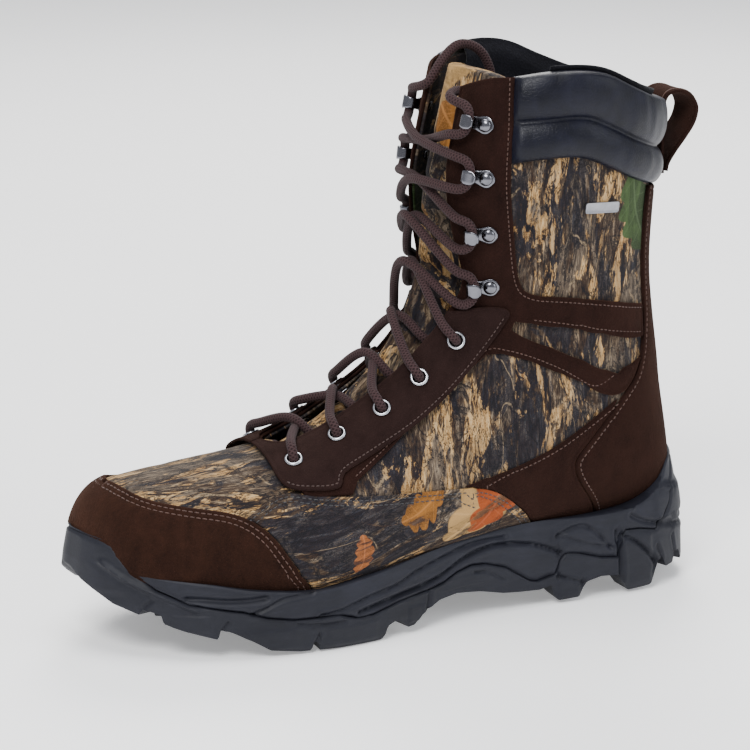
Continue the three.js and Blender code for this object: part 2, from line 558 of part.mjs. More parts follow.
/** One layer of the tongue, from a depth to a depth below its face. */
function tongueLayer(from, to) {
  const rings = [];
  const across = 10;
  for (let u = TONGUE_U; u <= 1.0001; u += (1 - TONGUE_U) / 12) {
    const [ax, az, bx, bz, wl, , , sw, p] = through(SECTIONS, Math.min(u, 1));
    const length = Math.hypot(bx - ax, bz - az);
    const edge = Math.acos(Math.max(1 - (wingDepth(Math.min(u, 1)) * 0.75 - 3) / length / sw, 0) ** (p / 2)) / Math.PI;
    const at = (j, below) => {
      const v = edge * (2 * j / across - 1);
      const y = wl * Math.sin(Math.abs(v) * Math.PI);
      return layerPoint(Math.min(u, 1), v, -TONGUE_DROP + 3 * Math.exp(-((y / 11) ** 2)) - below);
    };
    const steps = Array.from({ length: across + 1 }, (_, j) => j);
    rings.push([...steps.map((j) => at(j, from)), ...steps.reverse().map((j) => at(j, to))]);
  }
  return largest(loft(rings).subtract(sidePrism(TONGUE_TOP, -WIDE, WIDE)));
}

function addTongue() {
  const foam = TONGUE_SKIN + 2 * GAP;
  add('tongue_face', tongueLayer(0, TONGUE_SKIN), 'camo');
  add('tongue_foam', tongueLayer(foam, foam + TONGUE_FOAM), 'batting');
  add('tongue_lining', tongueLayer(foam + TONGUE_FOAM + 2 * GAP, 2 * foam + TONGUE_FOAM), 'lining');
}

// The pull loop in the side view: flat up the back of the collar, then round and down to its root.
const LOOP = [[144.8, 199], [145, 234], [149, 238], [157, 238], [164.5, 233.5], [166.5, 227], [163.5, 219], [157, 211],
  [150.5, 203.5], [147.5, 197], [145.6, 195.8]];

/** The strap loop at the back of the collar. */
function addPullLoop() {
  const inside = sidePrism(grown([[145, 204], ...LOOP.slice(1, -3)], -LOOP_BAND), -LOOP_WIDTH, LOOP_WIDTH);
  add('pull_loop', largest(sidePrism(LOOP, -LOOP_WIDTH / 2, LOOP_WIDTH / 2).subtract(inside)), 'suede');
}

const FLANGE_SAG = 0.75 * (EYELET_FLANGE / 4.4) ** 2; // how far the bent leather drops away under a flange

/** Round eyelets, each with a flange outside, a barrel through the layers and a rolled flange inside. */
function addEyelets() {
  const [top, bottom] = [SECOND_OVERLAY[1] + GAP + FLANGE_SAG, -FABRIC - 1.1];
  const profile = [[EYELET_HOLE, bottom - 0.5], [EYELET_BARREL + 0.6, bottom - 0.5], [EYELET_BARREL + 0.6, bottom], [EYELET_BARREL, bottom],
    [EYELET_BARREL, top], [EYELET_FLANGE, top], [EYELET_FLANGE - 0.4, top + 0.6], [EYELET_HOLE + 0.9, top + 0.6], [EYELET_HOLE, top], [EYELET_HOLE, bottom - 0.5]];
  for (const [name, side] of Object.entries(SIDES)) {
    EYELETS.forEach((place, i) => add(`eyelet_${name}_${i + 1}`, turned(profile, 10, seat(place, side, 0)), 'nickel'));
  }
}

const HOOK_REACH = 11;                   // rivet to the bend of the hook
const HOOK_BEND = EYELET_HOLE + 0.25;     // inside radius of that bend
const HOOK_BASE = OVERLAY[1] + 1;         // underside of the plate

/** Lace hooks: a plate under a rivet, bent back over itself on the throat side. */
function addHooks() {
  const [base, inner] = [HOOK_BASE, HOOK_BEND];
  const bend = [HOOK_REACH - HOOK_PLATE - inner, base + HOOK_PLATE + inner];
  const arc = (radius) => Array.from({ length: 5 }, (_, i) => {
    const angle = -Math.PI / 2 + (Math.PI * i) / 4;
    return [bend[0] + radius * Math.cos(angle), bend[1] + radius * Math.sin(angle)];
  });
  const outline = [[-4.5, base], ...arc(inner + HOOK_PLATE), [3.6, base + 2 * (inner + HOOK_PLATE) + 0.5],
    [3.6, base + 2 * inner + HOOK_PLATE + 0.7], ...arc(inner).reverse(), [-4.5, base + HOOK_PLATE]];
  const rivet = [[0, -3.4], [RIVET_HEAD - 0.4, -3.4], [RIVET_HEAD - 0.4, -2.0], [RIVET_SHANK, -2.0], [RIVET_SHANK, base + 0.3],
    [RIVET_HEAD, base + 0.3], [RIVET_HEAD, base + HOOK_PLATE + 0.4], [RIVET_HEAD * 0.6, base + HOOK_PLATE + 1.1], [0, base + HOOK_PLATE + 1.4]];
  for (const [name, side] of Object.entries(SIDES)) {
    HOOKS.forEach((place, i) => {
      const matrix = seat(place, side, 0);
      const shape = new THREE.Shape(outline.map(([a, h]) => new THREE.Vector2(side * a, h)));
      const plate = new THREE.ExtrudeGeometry(shape, { depth: HOOK_WIDTH, bevelEnabled: false, curveSegments: 6 })
        .translate(0, 0, -HOOK_WIDTH / 2).rotateX(Math.PI / 2).applyMatrix4(matrix);
      add(`hook_${name}_${i + 1}`, solid(plate).add(turned(rivet, 8, matrix)), 'nickel');
    });
  }
}

// The lace's free ends: one runs over the top of the tongue into the boot, one tucks in behind the
// lateral facing, given as across, up and out from the highest hook.
const LACE_END = [[30.5, 12, 247], [38, 12, 257.5], [47.5, 13, 264], [57, 12, 261], [63, 11, 250], [63, 11, 232]];
const LACE_TUCK = [[19.5, 8.6, 4.4], [20.5, 10.6, 0.2], [19, 12, -4.8], [14, 12.4, -6.4], [9, 12, -6.5]];
const at = (x, y, z) => new THREE.Vector3(X(x), Y(y), Z(z));

/** The lace's path from its end on the lateral side down to the lowest eyelets and up the medial side. */
function lacePath() {
  const over = SECOND_OVERLAY[1] + LACE / 2 + 0.6;
  const under = -FABRIC - LACE / 2 - 1.2;
  const spot = (place, side, [a, up, out]) => new THREE.Vector3(side * a, up, out).applyMatrix4(seat(place, side, 0));
  const ridge = (low, high, out) => layerPoint((locate(...low, 1)[0] + locate(...high, 1)[0]) / 2, 0, out);
  const climb = (start) => {
    const points = [];
    let side = start;
    const level = start > 0 ? 2.6 : -2.3;
    EYELETS.forEach((place, i) => {
      points.push(spot(place, side, [1, -0.6, under - 0.6]), spot(place, side, [0, 0, -2.4]), spot(place, side, [0, 0, 5.6]),
        spot(place, side, [2.6, 0.8, over + 1.8]), spot(place, side, [8.5, 3, over + 0.5]));
      const next = EYELETS[i + 1];
      if (next) {
        points.push(ridge(place, next, 3.4 + level), spot(next, -side, [12.5, -5.5, under + 0.5]), spot(next, -side, [8, -3.4, under - 0.6]));
      } else {
        points.push(ridge(place, HOOKS[0], 4.4 + level));
      }
      side *= -1;
    });
    const channel = [HOOK_REACH - HOOK_PLATE - HOOK_BEND, HOOK_BASE + HOOK_PLATE + HOOK_BEND];
    HOOKS.forEach((place, i) => {
      for (const [a, up, out] of [[14, -7.4, i ? 5.8 : 7.2], [10, -7, i ? 6 : 6.8], [channel[0] + 0.4, -4.2, channel[1]], [...channel.slice(0, 1), 0, channel[1]],
        [channel[0] + 0.4, 4.2, channel[1]], [10, 7, 5.9], [14, 7.4, 5.6]]) points.push(spot(place, side, [a, up, out]));
      if (HOOKS[i + 1]) points.push(ridge(place, HOOKS[i + 1], 4.6 + level));
      side *= -1;
    });
    return points;
  };
  const tucked = LACE_TUCK.map((place) => spot(HOOKS.at(-1), -1, place));
  return [[...climb(1), ...LACE_END.map((p) => at(...p))], [...climb(-1), ...tucked]];
}

function addLace() {
  const [toMedial, toLateral] = lacePath();
  const bridge = layerPoint(locate(...EYELETS[0], 1)[0], 0, -2.6);
  const points = [...toLateral.reverse(), bridge, ...toMedial];
  const curve = new THREE.CatmullRomCurve3(points, false, 'centripetal');
  const spots = points.slice(1).flatMap((p, i) => {
    const pieces = Math.max(1, Math.round(p.distanceTo(points[i]) / 8));
    return Array.from({ length: pieces }, (_, k) => (i + k / pieces) / (points.length - 1));
  }).concat(1);
  let normal = new THREE.Vector3(0, 0, 1);
  const rings = spots.map((t) => {
    const along = curve.getTangent(t);
    normal = normal.clone().addScaledVector(along, -normal.dot(along)).normalize();
    const across = along.clone().cross(normal);
    return Array.from({ length: 5 }, (_, j) => {
      const angle = (2 * Math.PI * j) / 5;
      return curve.getPoint(t).addScaledVector(normal, (LACE / 2) * Math.cos(angle))
        .addScaledVector(across, (LACE / 2) * Math.sin(angle));
    });
  });
  add('lace', loft(rings), 'lace');
}

function addTag() {
  const [length, height, thickness] = TAG;
  const plate = new THREE.BoxGeometry(length, height, thickness).translate(0, 0, GAP + thickness / 2 + 0.25);
  const shape = solid(plate.applyMatrix4(seat([91.5, 192], -1, 0)));
  add('tag', shape, 'nickel');
}

addFabric();
addOverlays();
addInside();
addSole();
addCollar();
addTongue();
addPullLoop();
addEyelets();
addHooks();
addLace();
addTag();

// The origin is on the floor under the middle of the whole boot.
const box = new THREE.Box3().setFromObject(boot);
const middle = box.getCenter(new THREE.Vector3());
boot.position.set(-middle.x, -middle.y, -box.min.z);

export default boot;
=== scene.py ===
# %% [markdown]
# # A lace-up insulated hunting boot
# One left boot, modelled piece by piece as it would be sewn: printed cloth, suede overlays, a
# padded collar and tongue, metal fittings, a round lace and a moulded rubber sole. We start from
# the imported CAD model, which fixes every size and place, and build the looks around it.

# %% Load the frame
import math
import bmesh
import bpy
import numpy as np
from mathutils import Matrix, Vector, noise
from mathutils.bvhtree import BVHTree
from mathutils.geometry import delaunay_2d_cdt


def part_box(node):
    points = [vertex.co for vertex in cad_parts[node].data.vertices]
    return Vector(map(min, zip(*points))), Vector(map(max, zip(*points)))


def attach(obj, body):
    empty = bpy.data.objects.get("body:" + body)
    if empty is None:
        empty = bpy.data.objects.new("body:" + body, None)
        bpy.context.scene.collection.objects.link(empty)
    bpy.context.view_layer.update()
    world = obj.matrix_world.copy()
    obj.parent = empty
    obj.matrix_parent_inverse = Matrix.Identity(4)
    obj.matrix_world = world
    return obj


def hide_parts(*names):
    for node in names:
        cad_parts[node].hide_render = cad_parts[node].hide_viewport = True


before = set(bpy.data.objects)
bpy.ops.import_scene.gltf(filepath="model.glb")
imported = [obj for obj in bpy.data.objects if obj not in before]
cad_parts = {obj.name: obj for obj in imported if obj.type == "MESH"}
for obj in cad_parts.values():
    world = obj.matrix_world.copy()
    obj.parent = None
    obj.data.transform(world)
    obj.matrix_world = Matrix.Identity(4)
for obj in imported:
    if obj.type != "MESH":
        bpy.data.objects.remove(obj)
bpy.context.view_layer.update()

# %% [markdown]
# Shapes are worked out in millimetres, in the boot maker's own axes, and moved into the frame at
# the end. The pull loop tells us where the frame's origin lies, since its rearmost point and its
# middle are known.

# %% Units and the way into the frame
LOOP_REAR = 166.5
low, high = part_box("pull_loop")
SHIFT = Vector((high.x * 1000 - LOOP_REAR, (low.y + high.y) * 500, 0))
TO_FRAME = Matrix.Scale(0.001, 4) @ Matrix.Translation(SHIFT)
print("shift into the frame, mm:", [round(c, 2) for c in SHIFT])

# %% [markdown]
# A boot is built on a last. Ours is a surface with two numbers, u from the toe to the top of the
# shaft and v round a section, from the ridge at the front (0) to the back (1), with the outer side
# of the foot negative. Sections fan round the ankle. Every layer of the boot is this surface moved
# outwards or inwards by its thickness, so layers never cut through each other.

# %% The last
# ridge x, z; bottom or back x, z; outer and inner half widths; centre y; widest place; roundness
SECTIONS = np.array([
    [-152, 44, -152, 38, 1, 1, 12, .50, 2.0, 2.0], [-149, 59, -149, 28, 18, 15, 11, .55, 2.0, 2.2],
    [-139, 71, -139, 25, 34, 27, 9, .62, 2.0, 2.7], [-120, 76, -120, 23, 45, 37, 6, .68, 2.0, 3.3],
    [-90, 79, -92, 22, 51, 44, 3, .72, 2.0, 3.8], [-58, 85, -62, 22, 54, 47, 0, .74, 1.9, 4.0],
    [-30, 98, -30, 25, 52, 46, -1, .73, 1.8, 4.0], [-7, 117, 8, 30, 47, 42, -2, .70, 1.7, 3.8],
    [8, 138, 58, 33, 43, 40, -2, .64, 1.7, 3.6], [16, 157, 108, 34, 41, 40, -1, .58, 1.8, 3.4],
    [19, 174, 145, 44, 40, 41, 0, .54, 1.9, 3.0], [20, 190, 142, 100, 42, 43, 0, .52, 2.1, 2.4],
    [22, 206, 136, 155, 46, 46, 0, .51, 2.2, 2.2], [27, 228, 138, 205, 49, 49, 0, .50, 2.2, 2.2],
    [38, 272, 141, 258, 51, 51, 0, .50, 2.2, 2.2]])


def through(rows, t):
    """Catmull-Rom through rows of numbers, with t from 0 to 1."""
    rows = np.asarray(rows, float)
    end = len(rows) - 1
    x = np.minimum(np.clip(np.asarray(t, float), 0, 1) * end, end - 1e-9)
    i = x.astype(int)
    f = (x - i)[..., None]
    p0, p1, p2, p3 = (rows[np.clip(i + k, 0, end)] for k in (-1, 0, 1, 2))
    return .5 * (2 * p1 + (p2 - p0) * f + (2 * p0 - 5 * p1 + 4 * p2 - p3) * f ** 2
                 + (3 * p1 - p0 - 3 * p2 + p3) * f ** 3)


def last_point(u, v):
    """Points of the last; v may run on past the back."""
    u, v = np.broadcast_arrays(np.asarray(u, float), np.asarray(v, float))
    v = (v + 1) % 2 - 1
    ax, az, bx, bz, wl, wm, yc, sw, p, q = np.moveaxis(through(SECTIONS, u), -1, 0)
    front = np.abs(v) <= .5
    power = 2 / np.where(front, p, q)
    along = np.abs(np.cos(v * math.pi)) ** power
    across = np.abs(np.sin(v * math.pi)) ** power
    s = np.where(front, sw * (1 - along), sw + (1 - sw) * along)
    return np.stack([ax + (bx - ax) * s, yc + np.where(v < 0, -wl, wm) * across, az + (bz - az) * s], -1)


def unit(vectors):
    return vectors / np.maximum(np.linalg.norm(vectors, axis=-1, keepdims=True), 1e-9)


def last_normal(u, v):
    u = np.asarray(u, float)
    along = last_point(np.minimum(u + .008, 1), v) - last_point(np.maximum(u - .008, 0), v)
    return unit(np.cross(along, last_point(u, np.asarray(v) + .012) - last_point(u, np.asarray(v) - .012)))


def skin(u, v, offset):
    """Points at an offset from the last."""
    return last_point(u, v) + last_normal(u, v) * np.asarray(offset, float)[..., None]


grid_u, grid_v = np.meshgrid(np.linspace(0, 1, 241), np.linspace(.01, .99, 121), indexing="ij")


def locate(points, side):
    """The u, v of side-view [x, z] points, on side -1 (outer) or 1 (inner)."""
    table = last_point(grid_u, side * grid_v)[..., [0, 2]].reshape(-1, 2)
    out = []
    for x, z in np.asarray(points, float):
        k = int(np.argmin(np.hypot(table[:, 0] - x, table[:, 1] - z)))
        u, v = grid_u.flat[k], side * grid_v.flat[k]
        for _ in range(4):
            here = last_point(u, v)[[0, 2]]
            slope = np.stack([(last_point(min(u + .002, 1), v) - last_point(max(u - .002, 0), v))[[0,
                2]] / .004,
                              (last_point(u, v + .002) - last_point(u, v - .002))[[0, 2]] / .004], 1)
            if abs(np.linalg.det(slope)) < 50:
                break
            du, dv = np.linalg.solve(slope, np.array([x, z]) - here)
            u = float(np.clip(u + np.clip(du, -.01, .01), 0, 1))
            v = float(side * np.clip(side * (v + np.clip(dv, -.01, .01)), .004, .996))
        out.append((u, v))
    return np.array(out)


print("ridge length, mm:",
      round(float(np.linalg.norm(np.diff(last_point(np.linspace(0, 1, 200), 0), axis=0), axis=1).sum())))

# %% [markdown]
# The outlines of the pieces are drawn in the side view, as [x, z] in millimetres, the way a
# pattern maker marks them on the side of the last.

# %% Outlines
TOE_CAP_EDGE = [[-138, 74], [-128, 69], [-112, 66], [-92, 62.5], [-80, 55], [-71, 42], [-60, 26]]
BAND_EDGE = [[-89, 60.6], [-78, 66], [-67, 69.2], [-55, 68], [-35, 66.5], [0, 65.3], [25, 63.5],
             [38, 59.5], [50, 51], [60, 41], [66, 30]]
REAR_EDGE = [[20, 64.9], [28, 66.5], [50, 70.5], [72, 77.5], [90, 86.5], [105.5, 96.2]]
COUNTER_EDGE = [[122.5, 198], [121, 165], [122.5, 135], [119, 111], [108, 96.5], [92, 79], [84, 71],
                [82, 66], [85, 58], [94, 46], [102, 34]]
COLLAR_BOTTOM = [[46, 215], [62, 217], [78, 217], [92, 212], [108, 204.5], [126, 198], [150, 192]]
COLLAR_SEAM = [[46, 234], [62, 235.5], [80, 236], [93, 231], [108, 223.5], [126, 216.5], [150, 210]]
COLLAR_TOP = [[46, 253], [62, 256], [78, 256.5], [92, 254], [108, 246.5], [126, 239], [150, 233]]
FACING_TOP = [[26, 236], [31.5, 245], [35.5, 250], [42, 254], [51, 255.2]]
FACING_REAR = [[50, 255.2], [48.5, 232], [47.2, 205], [50, 180], [54, 158], [60, 151.5], [74, 149.5],
               [96, 146], [120.5, 140.5]]
STRAPS = [[121.5, 124.5], [96, 130], [75, 135], [60, 137.5], [53, 138.5], [51, 134.5], [56, 131],
          [70, 125], [88, 116.5],
          [100, 111], [106, 108.5], [109, 111], [119.5, 114.4], [116, 107.2], [110, 100], [92, 102.5],
          [76, 111.5], [60, 119],
          [46, 123.5], [38, 123.5], [20, 111], [3, 98.5], [-12, 86.5], [-24, 78.5], [-33, 73], [-37, 67.6]]
EYESTAY_LOW = [[-66, 100], [-67.5, 80], [-68, 75], [-66.5, 71.5], [-62, 69.8], [-50, 69.3], [-42, 70.5],
               [-38, 75.5], [-25, 81.5], [0, 94],
               [22, 110], [40, 128], [49, 139], [50.5, 143.5], [46, 145.6], [34, 145], [24, 143.5],
               [15, 150]]
EYELETS = [[-57, 79.5], [-34, 89], [-12, 100], [7, 113.5], [25.5, 130]]
HOOKS = [[42.5, 155.5], [40, 181.5], [38, 208], [39, 232.5]]
SOLE_EDGE = [[-175, 53], [-151, 52], [-146, 47], [-140, 39.5], [-130, 37], [-112, 35], [-90, 31],
             [-60, 28.5], [-34, 31],
             [0, 36], [31, 39], [60, 41], [90, 40], [112, 41], [126, 45], [136, 51], [146, 60], [175, 64]]
BOTTOM_LINE = [[-160, 30], [-149, 30.5], [-139, 28], [-120, 26.5], [-92, 25.5], [-62, 25.5], [-30, 28.5],
               [8, 33.5],
               [58, 36.5], [100, 37.5], [124, 39], [150, 46]]
SIDES = {"lateral": -1, "medial": 1}


def line(points, steps=4):
    """A smooth open line through points, with steps samples between two of them."""
    return through(points, np.linspace(0, 1, (len(points) - 1) * steps + 1))


def height_of(points, x):
    """z of a side-view line at x."""
    smooth = line(points, 6)
    return np.interp(x, smooth[:, 0], smooth[:, 1])


def level(points, v):
    """u where the section line v of the last crosses a side-view line, going up the shaft."""
    v = np.asarray(v, float)
    lo, hi = np.full(v.shape, .72), np.ones(v.shape)
    for _ in range(30):
        mid = (lo + hi) / 2
        p = last_point(mid, v)
        under = p[..., 2] < height_of(points, p[..., 0])
        lo, hi = np.where(under, mid, lo), np.where(under, hi, mid)
    return (lo + hi) / 2


SOLE_COVER = 5  # how far the sole's edge stands up over the upper


def sole_run(xs, side):
    """u, v along the upper just below the sole's edge."""
    xs = np.asarray(xs, float)
    return locate(np.stack([xs, height_of(SOLE_EDGE, xs) - SOLE_COVER], 1), side)


THROAT_U = float(locate([[-62, 84]], 1)[0, 0])
SLOT_WIDTHS = [[12], [14], [16], [18.5], [20], [21.5], [22], [20.5], [19], [17], [16], [15]]


def slot_edge(u, side):
    """v of the throat's edge at u: nothing before the throat, then a rounded start."""
    u = np.asarray(u, float)
    start = np.clip((u - THROAT_U) / .03, 0, 1)
    width = through(SLOT_WIDTHS, (u - THROAT_U) / (1 - THROAT_U))[...,
        0] * np.sqrt(start * (2 - start)) + .15
    lo, hi = np.zeros(u.shape), np.full(u.shape, .5)
    for _ in range(24):
        mid = (lo + hi) / 2
        near = side * last_point(u, side * mid)[..., 1] < width
        lo, hi = np.where(near, mid, lo), np.where(near, hi, mid)
    return (lo + hi) / 2


print("throat starts at u", round(THROAT_U, 3))

# %% [markdown]
# A flat panel is cut from sheet and pulled over the last. We turn its outline into u and v, fill it
# with a Delaunay mesh whose points are denser at the edge, lay that mesh at the panel's inner
# offset, and extrude it to the outer one. The rim is a little lower than the middle, so the cut edge
# looks rolled over as leather does, and a row of points at the seam sinks where thread pulls it in.

# %% Panels
CHART = np.array([400.0, 150.0])  # millimetres for one u and for one v


def spaced(uv, pitch, closed=False):
    """The same line with points evenly spaced in millimetres."""
    uv = np.vstack([uv, uv[:1]]) if closed else np.asarray(uv)
    p = last_point(uv[:, 0], uv[:, 1])
    run = np.r_[0, np.cumsum(np.linalg.norm(np.diff(p, axis=0), axis=1))]
    count = max(int(round(run[-1] / pitch)), 2)
    at = np.linspace(0, run[-1], count + 1)[:-1 if closed else None]
    return np.stack([np.interp(at, run, uv[:, k]) for k in (0, 1)], 1)


def shifted(uv, direction, distance):
    """u, v moved by a distance in millimetres along a 3-D direction."""
    u, v = uv[:, 0], uv[:, 1]
    a = (last_point(np.minimum(u + .003, 1), v) - last_point(np.maximum(u - .003, 0), v)) / .006
    b = (last_point(u, v + .004) - last_point(u, v - .004)) / .008
    aa, ab, bb = (a * a).sum(1), (a * b).sum(1), (b * b).sum(1)
    da, db = (a * direction).sum(1), (b * direction).sum(1)
    det = np.maximum(aa * bb - ab * ab, 1e-3)
    move = np.stack([(bb * da - ab * db) / det, (aa * db - ab * da) / det], 1)
    return uv + move * np.asarray(distance)


def inward(uv, closed):
    """Directions along the surface to the left of a line of u, v."""
    p = last_point(uv[:, 0], uv[:, 1])
    run = np.roll(p, -1, 0) - np.roll(p, 1, 0) if closed else np.gradient(p, axis=0)
    area = uv[:, 0] * np.roll(uv[:, 1], -1) - uv[:, 1] * np.roll(uv[:, 0], -1)
    turn = np.sign(area.sum()) if closed else 1
    return unit(np.cross(last_normal(uv[:, 0], uv[:, 1]), unit(run))) * turn


def inset(uv, distance, closed=True):
    return shifted(uv, inward(uv, closed), distance)


def inside(points, loops):
    """Which points lie inside an odd number of loops, in the chart."""
    hit = np.zeros(len(points), bool)
    for loop in loops:
        a, b = loop, np.roll(loop, -1, 0)
        for (ax, ay), (bx, by) in zip(a, b):
            if ay == by:
                continue
            cross = (points[:, 1] > ay) != (points[:, 1] > by)
            hit ^= cross & (points[:, 0] < ax + (points[:, 1] - ay) * (bx - ax) / (by - ay))
    return hit


def foot_grain(uv, points):
    """Cloth cut with its length along the foot: metres across, metres along."""
    return np.stack([uv[:, 1] * .15, points[:, 0] * .001], 1)


def shaft_grain(uv, points):
    """Cloth cut with its length up the shaft."""
    around = np.where(np.abs(points[:, 1]) > 0, np.arctan2(points[:, 1], points[:, 0] - 75), 0)
    return np.stack([points[:, 0] * .001 * .7 + around * .02, points[:, 2] * .001], 1)


def ruffle(points, size, amount, seed=0.0):
    """Soft random heights over 3-D points."""
    return np.array([noise.noise(Vector(p) / size + Vector((seed, seed, seed))) for p in points]) * amount


def panel(outline, layer, seams=(), holes=(), pitch=3.0, rim=.55, relief=None, grain=foot_grain,
          edge_pitch=1.6):
    """A bmesh of a panel: outline in u, v; layer [inner, outer]; seams are insets where thread sinks."""
    border = spaced(outline, edge_pitch, closed=True)
    rows = [(border, -rim)]
    for distance, drop in [(.32, -rim * .28), (.8, 0.0)]:
        rows.append((inset(border, distance), drop))
    for seam in seams:
        rows += [(inset(border, seam - .8), 0), (inset(border, seam), -.32), (inset(border, seam + .8), 0)]
    rings = []
    for centre, radius in holes:
        turn = np.linspace(0, 2 * math.pi, 25)[:-1]
        uv = np.repeat([centre], 24, 0)
        n = last_normal(uv[:, 0], uv[:, 1])
        side = unit(np.cross(n, [0, 0, 1.0]))
        up = np.cross(n, side)
        rings.append(shifted(uv, side * np.cos(turn)[:, None] + up * np.sin(turn)[:, None], radius))
    loops = [border * CHART] + [ring * CHART for ring in rings]
    fixed = [border] + rings
    count = sum(map(len, fixed))
    drops = [np.full(len(border), -rim)] + [np.full(len(ring), -.1) for ring in rings]
    edges, start = [], 0
    for loop in fixed:
        n = len(loop)
        edges += [(start + i, start + (i + 1) % n) for i in range(n)]
        start += n
    for uv, drop in rows[1:]:
        chart = uv * CHART
        gap = np.sqrt(((chart[:, None] - (border * CHART)[None]) ** 2).sum(-1)).min(1)
        keep = inside(chart, loops) & (gap > .2)
        fixed.append(uv[keep])
        drops.append(np.full(keep.sum(), float(drop)))
    lo, hi = border.min(0), border.max(0)
    spots = np.stack(np.meshgrid(np.arange(lo[0], hi[0], pitch / CHART[0]),
                                 np.arange(lo[1], hi[1], pitch / CHART[1]),
                                 indexing="ij"), -1).reshape(-1, 2)
    spots = spots[inside(spots * CHART, loops)]
    known = np.vstack(fixed) * CHART
    far = np.array([((known - s) ** 2).sum(1).min() for s in spots * CHART]) if len(spots) else np.zeros(0)
    fixed.append(spots[far > (pitch * .55) ** 2])
    drops.append(np.zeros(len(fixed[-1])))
    uv, drop = np.vstack(fixed), np.concatenate(drops)
    made, _, faces, origin, _, _ = delaunay_2d_cdt([Vector(c) for c in uv * CHART], edges, [], 0, 1e-7,
        True)
    uv2 = np.array([[c.x, c.y] for c in made]) / CHART
    drop2 = np.array([drop[o[0]] if o else 0.0 for o in origin])
    middle = np.array([np.mean([uv2[i] for i in f], axis=0) for f in faces]) * CHART
    kept = [f for f, ok in zip(faces, inside(middle, loops)) if ok]
    base = last_point(uv2[:, 0], uv2[:, 1])
    out = last_normal(uv2[:, 0], uv2[:, 1])
    height = layer[1] + drop2
    if relief is not None:
        gap = np.array([np.sqrt(((loops[0] - c) ** 2).sum(1).min()) for c in uv2 * CHART])
        height = height + relief(base, uv2, gap)
    top, bottom = base + out * height[:, None], base + out * layer[0]
    uvs = grain(uv2, base)
    bm = bmesh.new()
    number = bm.verts.layers.int.new("number")
    verts = []
    for i, co in enumerate(bottom):
        vert = bm.verts.new(co)
        vert[number] = i
        verts.append(vert)
    for f in kept:
        bm.faces.new([verts[i] for i in f])
    grown = bmesh.ops.extrude_face_region(bm, geom=bm.faces[:], use_keep_orig=True)
    for part in grown["geom"]:
        if isinstance(part, bmesh.types.BMVert):
            part.co = top[part[number]]
    bmesh.ops.delete(bm, geom=[v for v in bm.verts if not v.link_faces], context="VERTS")
    layer_uv = bm.loops.layers.uv.new("Grain")
    for face in bm.faces:
        for loop in face.loops:
            loop[layer_uv].uv = uvs[loop.vert[number]]
    return bm


def finished(name, bm, body, material, replaces=(), sharp=None, merge=1e-3, recalculate=True):
    """A bmesh in millimetres as a finished piece in the frame."""
    if merge:
        bmesh.ops.remove_doubles(bm, verts=bm.verts, dist=merge)
    if recalculate:
        bmesh.ops.recalc_face_normals(bm, faces=bm.faces)
    bmesh.ops.transform(bm, matrix=TO_FRAME, verts=bm.verts)
    mesh = bpy.data.meshes.new(name)
    bm.to_mesh(mesh)
    bm.free()
    mesh.shade_smooth()
    if sharp is not None:
        mesh.set_sharp_from_angle(angle=math.radians(sharp))
    mesh.materials.append(material)
    piece = bpy.data.objects.new(name, mesh)
    bpy.context.scene.collection.objects.link(piece)
    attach(piece, body)
    if replaces:
        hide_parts(*replaces)
    print(f"{name}: {len(mesh.polygons)} faces")
    return piece

# %% [markdown]
# Finishes are built from shader nodes. A small class stands for one wire of the node tree, so that
# arithmetic on wires writes the Math nodes, and one method adds any other node. Numbers that are
# the same all over a surface sit on the shader's own sockets.

# %% Wires and finishes
class Wire:
    """One output in a finish; arithmetic on it adds Math nodes."""

    def __init__(self, finish, socket):
        self.finish, self.socket = finish, socket

    def maths(self, operation, *values, **more):
        return self.finish.add("Math", {"operation": operation, **more}, *values)

    def __add__(self, other):
        return self.maths("ADD", self, other)

    def __sub__(self, other):
        return self.maths("SUBTRACT", self, other)

    def __rsub__(self, other):
        return self.maths("SUBTRACT", other, self)

    def __mul__(self, other):
        return self.maths("MULTIPLY", self, other)

    def __truediv__(self, other):
        return self.maths("DIVIDE", self, other)

    def __rtruediv__(self, other):
        return self.maths("DIVIDE", other, self)

    def __gt__(self, other):
        return self.maths("GREATER_THAN", self, other)

    def __lt__(self, other):
        return self.maths("LESS_THAN", self, other)

    def __abs__(self):
        return self.maths("ABSOLUTE", self)

    def __pow__(self, other):
        return self.maths("POWER", self, other)

    __radd__, __rmul__ = __add__, __mul__

    def step(self, low, high):
        """0 below low, 1 above high, smooth between."""
        return self.finish.add("MapRange", {"interpolation_type": "SMOOTHSTEP"}, self, low, high, 0.0, 1.0)

    def most(self, other):
        return self.maths("MAXIMUM", self, other)

    def sine(self):
        return self.maths("SINE", self)


